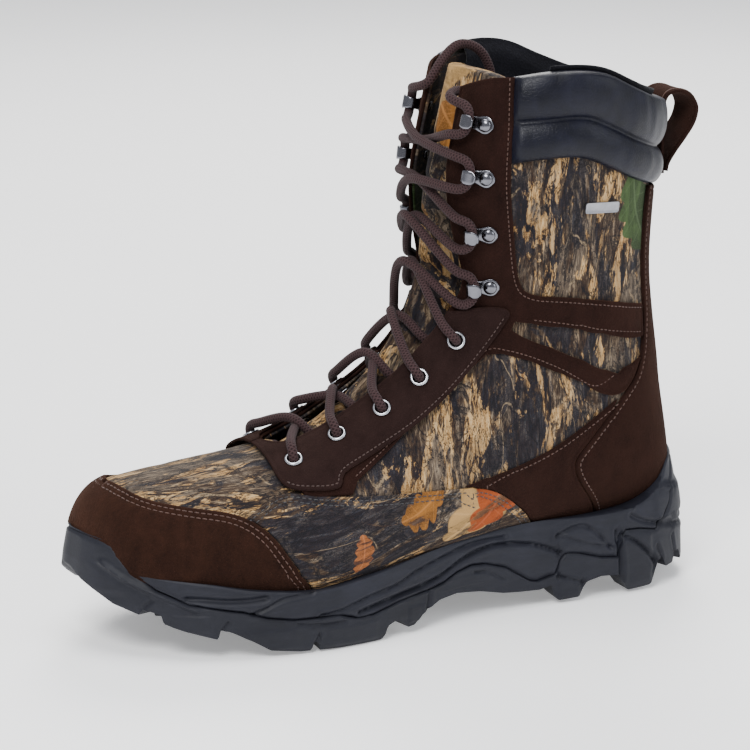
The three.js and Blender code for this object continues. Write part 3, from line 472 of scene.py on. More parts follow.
class Finish:
    """A material with one principled shader."""

    def __init__(self, name, **sockets):
        self.material = bpy.data.materials.new(name)
        self.material.use_nodes = True
        self.tree = self.material.node_tree
        self.shader = self.tree.nodes["Principled BSDF"]
        for key, value in sockets.items():
            self.shader.inputs[key.replace("_", " ")].default_value = value

    def add(self, kind, settings, *values, output=0, **named):
        """A node of a type, its settings first, then values or wires for its inputs in order or by name."""
        node = self.tree.nodes.new("ShaderNode" + kind)
        for key, value in settings.items():
            if key == "stops":
                ramp = node.color_ramp
                while len(ramp.elements) < len(value):
                    ramp.elements.new(.5)
                for element, (at, colour) in zip(ramp.elements, value):
                    element.position, element.color = at, (*colour, 1) if len(colour) == 3 else colour
            else:
                setattr(node, key, value)
        for key, value in [*enumerate(values), *named.items()]:
            socket = node.inputs[key.replace("_", " ") if isinstance(key, str) else key]
            if isinstance(value, Wire):
                self.tree.links.new(value.socket, socket)
            elif value is not None:
                socket.default_value = value
        return Wire(self, node.outputs[output])

    def place(self, uv=None, scale=(1, 1, 1), shift=(0, 0, 0), turn=(0, 0, 0)):
        """Coordinates in metres, of the object or of a UV map, stretched and shifted."""
        start = self.add("UVMap", {"uv_map": uv}) if uv else self.add("TexCoord", {}, output=3)
        return self.add("Mapping", {}, start, shift, turn, scale)

    def cloudy(self, at, size, detail=3.0, rough=.55, warp=0.0):
        """Noise with features of a size in metres."""
        return self.add("TexNoise", {}, Vector=at, Scale=1 / size, Detail=detail, Roughness=rough,
                        Distortion=warp)

    def mix(self, share, a, b, blend="MIX"):
        node = self.tree.nodes.new("ShaderNodeMix")
        node.data_type, node.blend_type = "RGBA", blend
        for key, value in ((0, share), (6, a), (7, b)):
            if isinstance(value, Wire):
                self.tree.links.new(value.socket, node.inputs[key])
            else:
                node.inputs[key].default_value = (*value, 1) if isinstance(value,
                    tuple) and len(value) == 3 else value
        return Wire(self, node.outputs[2])

    def ramp(self, value, *stops):
        return self.add("ValToRGB", {"stops": stops}, value)

    def end(self, colour=None, rough=None, height=None, distance=.0003, strength=1.0, metal=None):
        """Joins the wires to the shader and gives the material."""
        for key, wire in (("Base Color", colour), ("Roughness", rough), ("Metallic", metal)):
            if isinstance(wire, Wire):
                self.tree.links.new(wire.socket, self.shader.inputs[key])
            elif wire is not None:
                self.shader.inputs[key].default_value = (*wire, 1) if isinstance(wire, tuple) else wire
        if height is not None:
            bump = self.add("Bump", {}, Height=height, Distance=distance, Strength=strength)
            self.tree.links.new(bump.socket, self.shader.inputs["Normal"])
        return self.material


# %% [markdown]
# The printed cloth carries bark and leaves. Bark is noise stretched a dozen times along the grain:
# one fine layer for fibres, and three coarse ones cut off sharply for patches of charcoal, taupe
# and straw. A leaf is a band about a line whose half width swells and lobes along its length. The
# cloth's own UV map runs in metres across and along the grain, so the print follows each cut piece.

# %% Printed cloth
CHARCOAL, NAVY, TAUPE, PALE = (.0065, .006, .008), (.0085, .0095, .0165), (.062, .042, .027), (.25, .18,
    .115)
STRAW, OCHRE, RUST, BROWN = (.4, .235, .09), (.2, .1, .034), (.3, .06, .012), (.03, .0165, .0105)


def leaf(cloth, across, along, centre, length, width, turn, lobes=5):
    """Mask and vein of a lobed leaf centred in the cloth's grain coordinates, in metres."""
    c, s = math.cos(turn), math.sin(turn)
    x, y = across - centre[0], along - centre[1]
    a = (x * c + y * s) / length
    b = (y * c - x * s) / width
    bow = b + a * a * .35
    half = (1 - a * a).most(0.0) ** .6 * (.62 + .3 * abs((a * (lobes * math.pi / 2)).sine()))
    mask = (half - abs(bow)).step(-.02, .05)
    vein = 1 - abs(bow).step(.02, .07)
    rib = 1 - abs(((abs(bow) * 2.2 + a * 9)).sine()).step(.0, .22)
    return mask, vein.most(rib * .6)


def printed_cloth(name, seed, leaves=(), straw=.55, dark=.5, pale=.55):
    cloth = Finish(name, Roughness=.86, Sheen_Weight=.04, Sheen_Roughness=.5, Specular_IOR_Level=.12)
    grain = cloth.place("Grain")
    across = cloth.add("SeparateXYZ", {}, grain)
    along = Wire(cloth, across.socket.node.outputs[1])
    wander = cloth.cloudy(cloth.place("Grain", (1, .35, 1), (seed, seed * 2, 0)), .03, 2)
    fibres = cloth.cloudy(cloth.place("Grain", (1, .14, 1), (seed, 0, seed)), .0014, 4, .7, .9)
    coarse = cloth.cloudy(cloth.place("Grain", (1, .22, 1), (0, seed, seed)), .0052, 5, .72, 1.0)
    plates = cloth.cloudy(cloth.place("Grain", (1, .35, 1), (seed * 3, 0, 1)), .012, 5, .7, 1.2)
    patches = [cloth.cloudy(cloth.place("Grain", (1, .3, 1), (seed * k, k, k * 7)), size, 6, .66, .9)
               for k, size in ((2.3, .0135), (4.1, .0165), (5.7, .02))]
    fine = cloth.cloudy(grain, .0006, 2)
    speckle = (fibres * .6 + fine * .4).step(.44, .6)
    bark = fibres * .5 + coarse * .5
    colour = cloth.ramp(bark, (.38, CHARCOAL), (.46, BROWN), (.53, TAUPE), (.63, PALE))
    straws = patches[0].step(straw - .02, straw) * (coarse * .6 + plates * .4).step(.44, .49)
    shaded = cloth.ramp(fibres * .5 + coarse * .2 + fine * .3, (.37, BROWN), (.43, OCHRE), (.49, STRAW),
                        (.62, (.56, .4, .22)))
    colour = cloth.mix(straws, colour, shaded)
    dull = cloth.ramp(fibres, (.36, (.03, .022, .017)), (.52, (.10, .074, .052)), (.68, (.24, .185, .13)))
    colour = cloth.mix(patches[2].step(pale, pale + .03) * plates.step(.4, .5), colour, dull)
    night = cloth.ramp(coarse * .6 + fibres * .4, (.38, CHARCOAL), (.5, NAVY), (.6, (.03, .03, .036)))
    colour = cloth.mix(patches[1].step(dark, dark + .025) * (1 - straws * .7) * (.62 + speckle * .38),
                       colour, night)
    twig = 1 - abs(wander - .5).step(.0015, .0045)
    colour = cloth.mix(twig * patches[2].step(.48, .52) * .75, colour, (.26, .19, .115))
    crack = (1 - abs(plates - .5).step(.008, .024)).most((1 - abs(patches[0] - .47).step(.004, .014)) * .8)
    colour = cloth.mix(crack * .85, colour, CHARCOAL)
    for centre, length, width, turn, tint in leaves:
        mask, vein = leaf(cloth, across, along, centre, length, width, turn)
        flesh = cloth.mix(plates.step(.38, .64), tuple(c * .4 for c in tint), tint)
        flesh = cloth.mix(fine.step(.45, .7) * .4, flesh, tuple(min(c * 1.5 + .02, 1) for c in tint))
        flesh = cloth.mix(vein * .35, flesh, tuple(min(c * 1.6 + .04, 1) for c in tint))
        colour = cloth.mix(mask * (1 - patches[1].step(.56, .6) * .75), colour, flesh)
    weave = (across * 7500).sine() * .5 + (along * 7500).sine() * .5
    colour = cloth.mix(fine.step(.25, .85) * .34, colour, (.016, .015, .016))
    return cloth.end(colour, .78 + fine * .16, weave * .5 + fine * .6 + fibres * .8, .00016, .55)


GREEN, AMBER, SAND = (.05, .085, .026), (.3, .12, .022), (.4, .24, .09)
vamp_cloth = printed_cloth("printed cloth, vamp", 1.7, [((.018, -.112), .014, .008, 1.1, OCHRE)], straw=.5,
                           dark=.54, pale=.5)
quarter_cloth = printed_cloth("printed cloth, quarter", 3.4,
    [((.066, .186), .026, .015, 2.0, GREEN), ((-.05, .19), .014, .009, .2, AMBER),
     ((-.046, .158), .011, .006, -.3, SAND)],
    straw=.54, dark=.5, pale=.5)
band_cloth = printed_cloth("printed cloth, band", 6.2,
    [((-.076, .034), .03, .0185, .75, SAND), ((-.077, .04), .024, .0145, .55, RUST),
     ((-.07, -.002), .013, .009, 1.3, AMBER),
     ((.076, .034), .03, .0185, -.75, SAND), ((.077, .04), .024, .0145, -.55, RUST),
     ((-.076, -.036), .009, .006, .2, (.3, .1, .03))],
    straw=.58, dark=.5, pale=.53)
tongue_cloth = printed_cloth("printed cloth, tongue", 9.1,
                             [((.004, .262), .03, .022, 1.4, SAND), ((-.012, .225), .016, .01, .9, AMBER),
    ((.008, .175), .012, .008, .4, OCHRE)], straw=.5, dark=.52, pale=.5)
print("printed cloths made")

# %% [markdown]
# Suede is split leather with its fibres raised. It has almost no gloss, a soft sheen at grazing
# angles, clouds of lighter and darker nap where it was brushed, and a fine fibrous bump.

# %% Suede, nubuck and coated leather
def suede(name, dark, light, nap=.0011, sheen=.1):
    hide = Finish(name, Roughness=.95, Sheen_Weight=sheen, Sheen_Roughness=.55, Sheen_Tint=(.6, .3, .2, 1),
                  Specular_IOR_Level=.04)
    at = hide.place()
    clouds = hide.cloudy(at, .028, 4, .6, .5)
    brushed = hide.cloudy(hide.place(scale=(1, 1, .45), turn=(0, .5, 0)), .006, 4, .65)
    fibres = hide.cloudy(at, nap, 3, .7)
    dust = hide.cloudy(at, .0004, 2, .6)
    shade = clouds * .34 + brushed * .3 + fibres * .36
    colour = hide.ramp(shade, (.36, dark), (.5, tuple((a + b) / 2 for a, b in zip(dark, light))),
                       (.64, light))
    colour = hide.mix(dust.step(.58, .72) * .4, colour, tuple(min(c * 2.0 + .008, 1) for c in light))
    colour = hide.mix(fibres.step(.5, .68) * .35, colour, dark)
    return hide.end(colour, .9 + fibres * .1, fibres * .8 + dust * .8 + brushed * .3, .00055, .9)


cap_suede = suede("suede, toe cap", (.0068, .0034, .0028), (.0285, .0118, .0074))
strap_suede = suede("suede, straps", (.0062, .003, .0027), (.0195, .0083, .0066))
counter_suede = suede("suede, counter", (.006, .003, .0026), (.0195, .0082, .0062))
nubuck = suede("nubuck, eyestay", (.0095, .0052, .0049), (.022, .0118, .0108), .0007, .06)


def coated_leather():
    hide = Finish("coated leather, collar", Roughness=.34, Specular_IOR_Level=.2)
    at = hide.place()
    cells = hide.add("TexVoronoi", {"feature": "DISTANCE_TO_EDGE"}, Vector=at, Scale=620.0)
    creases = hide.cloudy(at, .009, 5, .62, .6)
    fine = hide.cloudy(at, .0009, 2)
    # Painted shade: the colour follows the crease relief, darker where the creases sink.
    colour = hide.ramp(creases, (.35, (.0026, .0029, .0066)), (.65, (.0052, .0057, .0128)))
    grain = cells.step(0.0, .12)
    return hide.end(colour, .3 + creases * .12 + fine * .06, grain * .35 + fine * .25 + creases * .8,
                    .0003, .4)


collar_leather = coated_leather()


def knit(name, colour, size=.0011, rough=.94):
    cloth = Finish(name, Roughness=rough, Sheen_Weight=.06, Sheen_Roughness=.4, Specular_IOR_Level=.1)
    at = cloth.place()
    cells = cloth.add("TexVoronoi", {"feature": "F1"}, Vector=at, Scale=1 / size)
    patchy = cloth.cloudy(at, .02, 3)
    fuzz = cloth.cloudy(at, .0005, 2)
    mixed = cloth.ramp(patchy * .5 + fuzz * .5, (.3, tuple(c * .6 for c in colour)),
                       (.7, tuple(min(c * 1.5, 1) for c in colour)))
    # Painted shade: the hollows between the loops, where the bump sinks, are darkened to a third of the
    # colour.
    return cloth.end(cloth.mix(cells.step(.25, .7) * .5, mixed, tuple(c * .35 for c in colour)),
                     rough - fuzz * .1,
                     (1 - cells) * .8 + fuzz * .4, .0004, .7)


black_knit = knit("black knit, lining", (.006, .006, .0085))
batting = knit("polyester batting", (.62, .6, .54), .003)
foam = knit("open cell foam", (.3, .29, .25), .0016)
board = knit("fibre board", (.34, .26, .16), .0024)
print("leathers and cloths made")

# %% [markdown]
# The sole is moulded rubber: nearly black with a blue cast, matt where it was textured and a little
# shinier where a raised swoop was rubbed. Faint clouds and a fine pebble keep it from looking
# like plastic.

# %% Rubber, cord, thread and metal
def rubber(name, dark, light, rough=.52):
    made = Finish(name, Roughness=rough, Specular_IOR_Level=.22)
    at = made.place()
    clouds = made.cloudy(at, .03, 4, .6)
    scuffs = made.cloudy(made.place(scale=(.5, 1, 2.2)), .005, 5, .7)
    pebble = made.cloudy(at, .0008, 2, .5)
    colour = made.ramp(clouds * .6 + scuffs * .4, (.35, dark), (.65, light))
    colour = made.mix(scuffs.step(.6, .8) * .25, colour, tuple(c * 1.8 for c in light))
    return made.end(colour, rough - .07 + clouds * .1 + pebble * .14, pebble * .5 + scuffs * .25, .00022,
                    .55)


outsole_rubber = rubber("rubber, outsole", (.0066, .007, .0105), (.0128, .0135, .0195), .52)
midsole_rubber = rubber("rubber, midsole", (.0072, .0076, .0118), (.0145, .0153, .0225), .5)


def braid(name="braided cord"):
    cord = Finish(name, Roughness=.8, Sheen_Weight=.05, Sheen_Roughness=.4, Specular_IOR_Level=.1)
    run = cord.add("SeparateXYZ", {}, cord.add("UVMap", {"uv_map": "Grain"}))
    along, around = Wire(cord, run.socket.node.outputs[0]), Wire(cord, run.socket.node.outputs[1])
    one = ((along * 4300 + around * (2 * math.pi * 5)).sine() + 1) * .5
    two = ((along * 4300 - around * (2 * math.pi * 5)).sine() + 1) * .5
    strands = one.most(two)
    fine = cord.cloudy(cord.place(), .0005, 2)
    # Colour follows the strands' relief: painted shade darkens the hollows between strands and a painted
    # highlight lightens their crowns; fine noise adds random tone.
    colour = cord.ramp(strands * .75 + fine * .25, (.2, (.013, .0072, .0075)), (.7, (.036, .0198, .0205)),
                       (1.0, (.056, .032, .033)))
    return cord.end(colour, .76 + fine * .14, strands + fine * .3, .0004, .8)


lace_cord = braid()


def metal(name, colour, rough, wear=.1):
    made = Finish(name, Metallic=1.0, Roughness=rough)
    at = made.place()
    clouds = made.cloudy(at, .004, 4, .65)
    brush = made.cloudy(made.place(scale=(1, 1, 8)), .0012, 3)
    tone = made.ramp(clouds, (.35, tuple(c * .8 for c in colour)), (.65, colour))
    return made.end(tone, rough - wear / 2 + clouds * wear + brush * wear * .5, brush, .00003, .25)


silver = metal("nickel, eyelets", (.52, .53, .56), .24)
dark_chrome = metal("dark nickel, hooks", (.17, .17, .19), .17)
tag_metal = metal("brushed steel, tag", (.3, .3, .32), .3)
spring_steel = metal("spring steel", (.42, .43, .45), .4)


def thread(name, colour):
    made = Finish(name, Roughness=.7, Sheen_Weight=.2)
    twist = made.cloudy(made.place(), .0007, 2)
    return made.end(made.ramp(twist, (.35, tuple(c * .5 for c in colour)), (.65, colour)),
                    .6 + twist * .25, twist, .0002, .6)


copper_thread = thread("copper thread", (.085, .035, .021))
brown_thread = thread("dark brown thread", (.06, .028, .02))
dark_thread = thread("black thread", (.03, .028, .03))
print("rubber, cord, thread and metals made")

# %% [markdown]
# ## Camera, floor and light
# The boot is seen from its toe end on the outer side, a little from above, through a long lens.
# Large soft lamps and a pale floor keep it plain.

# %% Camera, floor and lights
scene = bpy.context.scene
AIM = Vector((0, 0, 135)) + SHIFT
SWING, TILT, FAR = math.radians(26), math.radians(13.3), 1600
sight = Vector((math.sin(SWING) * math.cos(TILT), math.cos(SWING) * math.cos(TILT), -math.sin(TILT)))
camera_data = bpy.data.cameras.new("camera")
camera_data.lens, camera_data.sensor_width = 162.4, 36
camera_data.shift_x, camera_data.shift_y = -.0087, -.0673
camera_data.clip_end = 50
camera = bpy.data.objects.new("camera", camera_data)
camera.location = (AIM - sight * FAR) * .001
camera.rotation_mode = "QUATERNION"
camera.rotation_quaternion = sight.to_track_quat("-Z", "Y")
scene.collection.objects.link(camera)
scene.camera = camera

world = bpy.data.worlds.new("studio")
world.use_nodes = True
world.node_tree.nodes["Background"].inputs[0].default_value = (.93, .95, 1, 1)
world.node_tree.nodes["Background"].inputs[1].default_value = .62
scene.world = world

floor_finish = Finish("studio floor", Roughness=.7, Emission_Color=(1, 1, 1, 1), Emission_Strength=.3)
floor_tone = floor_finish.cloudy(floor_finish.place(), .5, 2)
floor_material = floor_finish.end(floor_finish.ramp(floor_tone, (.3, (.94, .94, .945)),
    (.7, (.97, .97, .97))), .7)
bm = bmesh.new()
bmesh.ops.create_grid(bm, x_segments=8, y_segments=8, size=6)
bmesh.ops.translate(bm, verts=bm.verts, vec=(0, 0, -.0006))
floor_mesh = bpy.data.meshes.new("floor")
bm.to_mesh(floor_mesh)
bm.free()
floor_mesh.materials.append(floor_material)
floor = bpy.data.objects.new("floor", floor_mesh)
scene.collection.objects.link(floor)


def lamp(name, place, size, power, tint=(1, 1, 1)):
    data = bpy.data.lights.new(name, "AREA")
    data.shape, data.size, data.energy, data.color = "DISK", size, power, tint
    light = bpy.data.objects.new(name, data)
    light.location = place
    light.rotation_euler = (Vector((0, 0, .12)) - Vector(place)).to_track_quat("-Z", "Y").to_euler()
    scene.collection.objects.link(light)


lamp("key", (-1.0, -1.1, 1.6), .9, 42)
lamp("fill", (1.3, -1.3, .9), 1.2, 12, (.93, .96, 1))
lamp("rim", (.7, 1.4, 1.3), .9, 26, (1, .98, .95))
lamp("top", (0, .1, 1.9), 1.2, 24)
print("camera at", [round(c, 3) for c in camera.location])

# %% [markdown]
# ## The printed upper
# Vamp and quarters are the base layer of cloth over the batting. Cloth over padding is never quite
# flat, so its relief gets soft swells that die away towards the edges, where it is sewn down.

# %% Vamp and quarters
FABRIC_LAYER, OVERLAY_IN, SECOND_IN = [-1.4, 0], .25, 2.2
LACE_HOLE = 3.5


def front_tip(z):
    """u, v of the ridge line at a height near the toe."""
    us = np.linspace(0, .2, 200)
    return np.array([[float(np.interp(z, last_point(us, 0)[:, 2], us)), 0.0]])


def swells(amount, size=26, seed=0.0, fade=14):
    return lambda base, uv, gap: (ruffle(base, size, amount, seed) + ruffle(base, size * .4, amount * .35,
        seed + 5)) * np.clip(gap / fade, 0, 1)


vamp_rear = [[-58, 86], [-60, 80], [-56, 70], [-48, 56], [-40, 42], [-38, 31]]
halves = [np.vstack([[[THROAT_U + .012, side * .02]], locate(line(vamp_rear, 3)[2:], side),
                     sole_run(np.linspace(-42, -141, 24), side)]) for side in (-1, 1)]
vamp_shape = np.vstack([halves[0], front_tip(49), halves[1][::-1]])
finished("vamp_cloth", panel(vamp_shape, FABRIC_LAYER, relief=swells(.7, 22, 3.3), pitch=2.6), "boot",
         vamp_cloth, ["vamp"])


def lace_holes(side, places, radius):
    return [(locate([place], side)[0], radius) for place in places]


def shaft_front(side, start, stop, pitch=.012):
    us = np.arange(start, stop, pitch)
    return np.stack([us, side * slot_edge(us, side)], 1)


def back_line(side, z):
    """u, v on the very back of the last at a height."""
    us = np.linspace(.55, 1, 400)
    return np.array([[float(np.interp(z, last_point(us, 1)[:, 2], us)), float(side)]])


for name, side in SIDES.items():
    top_v = side * np.linspace(.14, 1, 26)
    top = np.stack([level(COLLAR_TOP, top_v) - .004, top_v], 1)
    front = shaft_front(side, THROAT_U + .02, float(level(COLLAR_TOP, side * .14)) - .01)
    under = locate(line(vamp_rear, 3)[2:], side)
    under[:, 0] += .003
    shape = np.vstack([front, top, back_line(side, 54), sole_run(np.linspace(140, -34, 36), side),
                       under[::-1]])
    finished(f"quarter_{name}_cloth",
             panel(shape, FABRIC_LAYER, relief=swells(1.0, 30, side * 2.0, 18), grain=shaft_grain,
                   pitch=3.4,
             holes=lace_holes(side, EYELETS, LACE_HOLE)), "boot", quarter_cloth,
             [f"quarter_{name}"])

# %% [markdown]
# ## Stitches
# Thread shows as short rounded bars that lie half sunk in a seam. Each is one small capsule, made
# once and stamped along the seam line, so that thousands of them stay light.

# %% Stitch maker
def capsule(length, radius):
    bm = bmesh.new()
    bmesh.ops.create_uvsphere(bm, u_segments=6, v_segments=4, radius=radius)
    stretch = (length / 2 - radius)
    for vert in bm.verts:
        vert.co.z += stretch if vert.co.z > .01 else -stretch if vert.co.z < -.01 else 0
    mesh = bpy.data.meshes.new("capsule")
    bm.to_mesh(mesh)
    bm.free()
    return mesh


def gather(bm, other):
    """Adds another bmesh to this one, and frees it."""
    copy = bpy.data.meshes.new("copy")
    other.to_mesh(copy)
    other.free()
    bm.from_mesh(copy)


def stamp(bm, template, matrices):
    """Adds a copy of a template mesh at each matrix."""
    for matrix in matrices:
        template.transform(matrix)
        bm.from_mesh(template)
        template.transform(matrix.inverted())


def frames_along(points, normals, pitch, skip=0.0):
    run = np.r_[0, np.cumsum(np.linalg.norm(np.diff(points, axis=0), axis=1))]
    spots = np.arange(skip + pitch / 2, run[-1] - skip, pitch)
    out = []
    for at in spots:
        p, q = (np.array([np.interp(a, run, points[:, k]) for k in range(3)]) for a in (at - .4, at + .4))
        n = Vector([np.interp(at, run, normals[:, k]) for k in range(3)]).normalized()
        along = Vector(q - p).normalized()
        across = along.cross(n).normalized()
        up = across.cross(along)
        matrix = Matrix((across, up, along)).transposed().to_4x4()
        matrix.translation = Vector((p + q) / 2)
        out.append(matrix)
    return out


STITCH, THREAD = 2.1, .31


def turn_in(uv, row, axis, wanted):
    """1 or -1, so that an inset from a line goes the wanted way along an axis at one of its rows."""
    return 1 if inward(spaced(uv, 2), False)[row, axis] * wanted > 0 else -1


def seam(name, lines, offset, finish, slot, body="boot", pitch=2.9, length=STITCH, radius=THREAD):
    """Stitches along lines of u, v (each may carry an inset in millimetres) at an offset."""
    template = capsule(length, radius)
    bm = bmesh.new()
    for uv, distance in lines:
        uv = spaced(uv, 1.5)
        uv = shifted(uv, inward(uv, False), distance) if distance else uv
        stamp(bm, template, frames_along(skin(uv[:, 0], uv[:, 1], offset + radius * .25),
                                         last_normal(uv[:, 0], uv[:, 1]), pitch))
    return finished(name, bm, body, finish, merge=0, recalculate=False)


# %% [markdown]
# ## Suede overlays
# The toe cap wraps the toe from one side to the other, so its outline is drawn once for each half
# and joined over the ridge. The bands, rear overlays and counter meet it edge to edge.

# %% Toe cap
CAP_TIP, CAP_FACE = 41, 2.0  # height of its lower edge at the toe, and how far its face stands out
cap_side = {side: locate(line(TOE_CAP_EDGE, 4), side) for side in (-1, 1)}
for side in (-1, 1):
    cap_side[side] = np.vstack([[[cap_side[side][0, 0] - .001, side * .012]], cap_side[side][1:]])
cap_run = {side: sole_run(np.linspace(-62, -142, 22), side) for side in (-1, 1)}
cap_shape = np.vstack([cap_side[-1], cap_run[-1], front_tip(CAP_TIP), cap_run[1][::-1], cap_side[1][::-1]])
finished("toe_cap_suede",
         panel(cap_shape, [OVERLAY_IN, CAP_FACE], seams=(2.3, 4.9), relief=swells(.35, 30, 7.0), pitch=2.6),
         "boot", cap_suede, ["toe_cap"])
cap_line = np.vstack([cap_side[-1][::-1], cap_side[1]])
turned = turn_in(cap_line, 5, 0, -1)
seam("toe_cap_stitches", [(cap_line, turned * 2.3), (cap_line, turned * 4.9)], 1.72, copper_thread, "suede")

# %% [markdown]
# The straight-sided pieces share one recipe: an outline for one side of the last, drawn again with
# the other sign of v. Where two meet, one edge is moved by the width of the cut.

# %% Side bands, rear overlays and counter
CUT = .35
BAND_FACE, REAR_FACE, COUNTER_FACE = 1.75, 1.55, 2.05


def moved(points, dx, dz=0.0):
    return [[x + dx, z + dz] for x, z in points]


def edge_between(points, side, z_low, z_high, dx=0.0):
    smooth = np.array(line(points, 4))
    smooth = smooth[(smooth[:, 1] >= z_low) & (smooth[:, 1] <= z_high)]
    return locate(smooth + [dx, 0], side)


band_top, rear_top, counter_front = {}, {}, {}
for name, side in SIDES.items():
    band_top[side] = locate(line(BAND_EDGE, 4), side)
    cap_edge = edge_between(TOE_CAP_EDGE, side, 28, 60, CUT + .3)
    shape = np.vstack([band_top[side], sole_run(np.linspace(66, -58, 34), side), cap_edge[::-1]])
    finished(f"side_band_{name}_cloth",
             panel(shape, [OVERLAY_IN, BAND_FACE], seams=(2.0, 4.4), relief=swells(.5, 26, 4.0)),
             "boot", band_cloth, [f"side_band_{name}"])
    rear_top[side] = locate(line(REAR_EDGE, 4), side)
    counter_front[side] = locate(line(COUNTER_EDGE, 4), side)
    front = edge_between(COUNTER_EDGE, side, 36, 95.8, -CUT)
    band_back = np.array(line(BAND_EDGE, 4))
    band_back = locate(band_back[(band_back[:, 0] > 22)] + [CUT, .2], side)
    shape = np.vstack([rear_top[side], front, sole_run(np.linspace(101, 68, 10), side), band_back[::-1]])
    finished(f"rear_overlay_{name}_suede",
             panel(shape, [OVERLAY_IN, REAR_FACE], seams=(2.2,), relief=swells(.3, 30, 9.0)),
             "boot", strap_suede, [f"rear_overlay_{name}"])
    into = turn_in(rear_top[side], 5, 2, -1)
    seam(f"rear_overlay_{name}_stitches", [(rear_top[side], into * 2.2)], 1.3, copper_thread, "suede",
         pitch=2.6, length=1.7)
    into = turn_in(band_top[side], 25, 2, -1)
    seam(f"side_band_{name}_stitches", [(band_top[side], into * 2.0), (band_top[side], into * 4.4)], 1.5,
         dark_thread, "camo_fabric", pitch=2.7, length=1.9)

around = {side: sole_run(np.linspace(104, 139, 12), side) for side in (-1, 1)}
top_v = np.linspace(.86, 1, 8)
counter_top = {side: np.stack([level(moved(COLLAR_BOTTOM, 0, -.6), side * top_v), side * top_v], 1)
               for side in (-1, 1)}
for side in (-1, 1):
    reach = abs(counter_front[side][0, 1])
    counter_top[side] = counter_top[side][np.abs(counter_top[side][:, 1]) > reach + .01]
    counter_front[side] = counter_front[side][counter_front[side][:, 0] < counter_top[side][0, 0] + .002]
UNWRAP = np.array([0, 2.0])
outer = np.vstack([counter_top[-1][::-1], counter_front[-1], around[-1]]) + UNWRAP
inner = np.vstack([counter_top[1][::-1], counter_front[1], around[1]])
counter_shape = np.vstack([outer, back_line(1, 55), inner[::-1]])
finished("heel_counter_suede",
         panel(counter_shape, [OVERLAY_IN, COUNTER_FACE], seams=(2.4,), relief=swells(.4, 36, 11.0),
               pitch=3.2),
         "boot", counter_suede, ["heel_counter"])
for name, side in SIDES.items():
    into = turn_in(counter_front[side], 8, 0, 1)
    seam(f"heel_counter_{name}_stitches", [(counter_front[side], into * 2.4)], 1.8, copper_thread, "suede",
         pitch=2.6, length=1.7)

# %% [markdown]
# The facing is one piece of suede: the hook panel, the strip beside the eyestay, and two straps that
# run back to the counter. The eyestay lies on it and takes the eyelets. Both stop at the throat,
# so their outlines are clipped to it before they are filled.

# %% Facings and eyestays
FACING_FACE, STAY_FACE = 1.85, 3.6


def clipped(uv, side):
    """An outline cut back to the throat's edge, which the cut then follows."""
    w = np.stack([uv[:, 0], np.abs(uv[:, 1]) - slot_edge(uv[:, 0], side)], 1)
    out = []
    for a, b in zip(w, np.roll(w, -1, 0)):
        steps = max(int(abs(b[0] - a[0]) / .008), 1)
        for k in range(steps):
            out.append(a + (b - a) * k / steps)
    w = np.array(out)
    kept = []
    for a, b in zip(w, np.roll(w, -1, 0)):
        if a[1] >= 0:
            kept.append(a)
        if (a[1] >= 0) != (b[1] >= 0):
            kept.append(a + (b - a) * (a[1] / (a[1] - b[1])))
    w = np.array(kept)
    gap = np.linalg.norm(np.diff(w, axis=0, append=w[:1]), axis=1)
    long = int(np.argmax(gap))
    w = np.roll(w, -long - 1, 0)
    if gap[long] > .02:
        fill = np.linspace(w[-1], w[0], 60)[1:-1]
        w = np.vstack([w, fill])
    return np.stack([w[:, 0], side * (np.maximum(w[:, 1], 0) + slot_edge(w[:, 0], side))], 1)


facing_rear, stay_low = {}, {}
for name, side in SIDES.items():
    facing_rear[side] = locate(line(FACING_REAR, 3), side)
    lower = locate(STRAPS, side)
    front_end = locate([[-48, 67.6], [-59, 68.6], [-61, 76], [-62, 84]], side)
    shape = np.vstack([locate(line(FACING_TOP, 3)[:-1], side), facing_rear[side], lower, front_end,
                       [[THROAT_U + .02, side * .02], [.99 * float(facing_rear[side][0, 0]), side * .02]]])
    finished(f"facing_{name}_suede",
             panel(clipped(shape, side), [OVERLAY_IN, FACING_FACE], seams=(2.0,),
                   holes=lace_holes(side, EYELETS, LACE_HOLE),
             edge_pitch=1.3, pitch=2.8), "boot", strap_suede, [f"facing_{name}"])
    into = turn_in(facing_rear[side], 10, 0, -1)
    upper_strap = locate(line([[119, 125.2], [96, 130], [75, 135], [60, 137.5]], 3), side)
    lower_strap = locate(line([[104, 107], [92, 102.5], [76, 111.5], [60, 119], [46, 123.5], [38, 123.5],
                               [20, 111], [3, 98.5], [-12, 86.5], [-24, 78.5], [-33, 73]], 3), side)
    up = turn_in(upper_strap, 5, 2, 1)
    seam(f"facing_{name}_stitches",
         [(facing_rear[side], into * 2.0), (upper_strap, up * 1.9), (lower_strap, up * 1.9)],
         1.6, copper_thread, "suede", pitch=2.3, length=1.5, radius=.3)
    stay_low[side] = locate(line(EYESTAY_LOW, 3), side)
    shape = np.vstack([stay_low[side], locate([[0, 160], [-60, 130]], side)])
    finished(f"eyestay_{name}_nubuck",
             panel(clipped(shape, side), [SECOND_IN, STAY_FACE], seams=(1.9,),
                   holes=lace_holes(side, EYELETS, LACE_HOLE),
             edge_pitch=1.2, pitch=2.4), "boot", nubuck, [f"eyestay_{name}"])
    edge = locate(line([[-66.5, 71.5], [-62, 69.8], [-50, 69.3], [-42, 70.5], [-38, 75.5], [-25, 81.5],
                        [0, 94], [22, 110], [40, 128], [49, 139]], 3), side)
    into = turn_in(edge, 25, 2, 1)
    seam(f"eyestay_{name}_stitches", [(edge, into * 1.9)], 3.35, brown_thread, "nubuck", pitch=2.3,
         length=1.5, radius=.3)

# %% [markdown]
# ## Rows and columns
# Everything that isn't cut from flat sheet is a grid: Blender's own grid, whose two coordinates
# run from 0 to 1, with each point carried to its place by a formula. A second formula gives the
# other face of a thick piece, made by extruding the first.

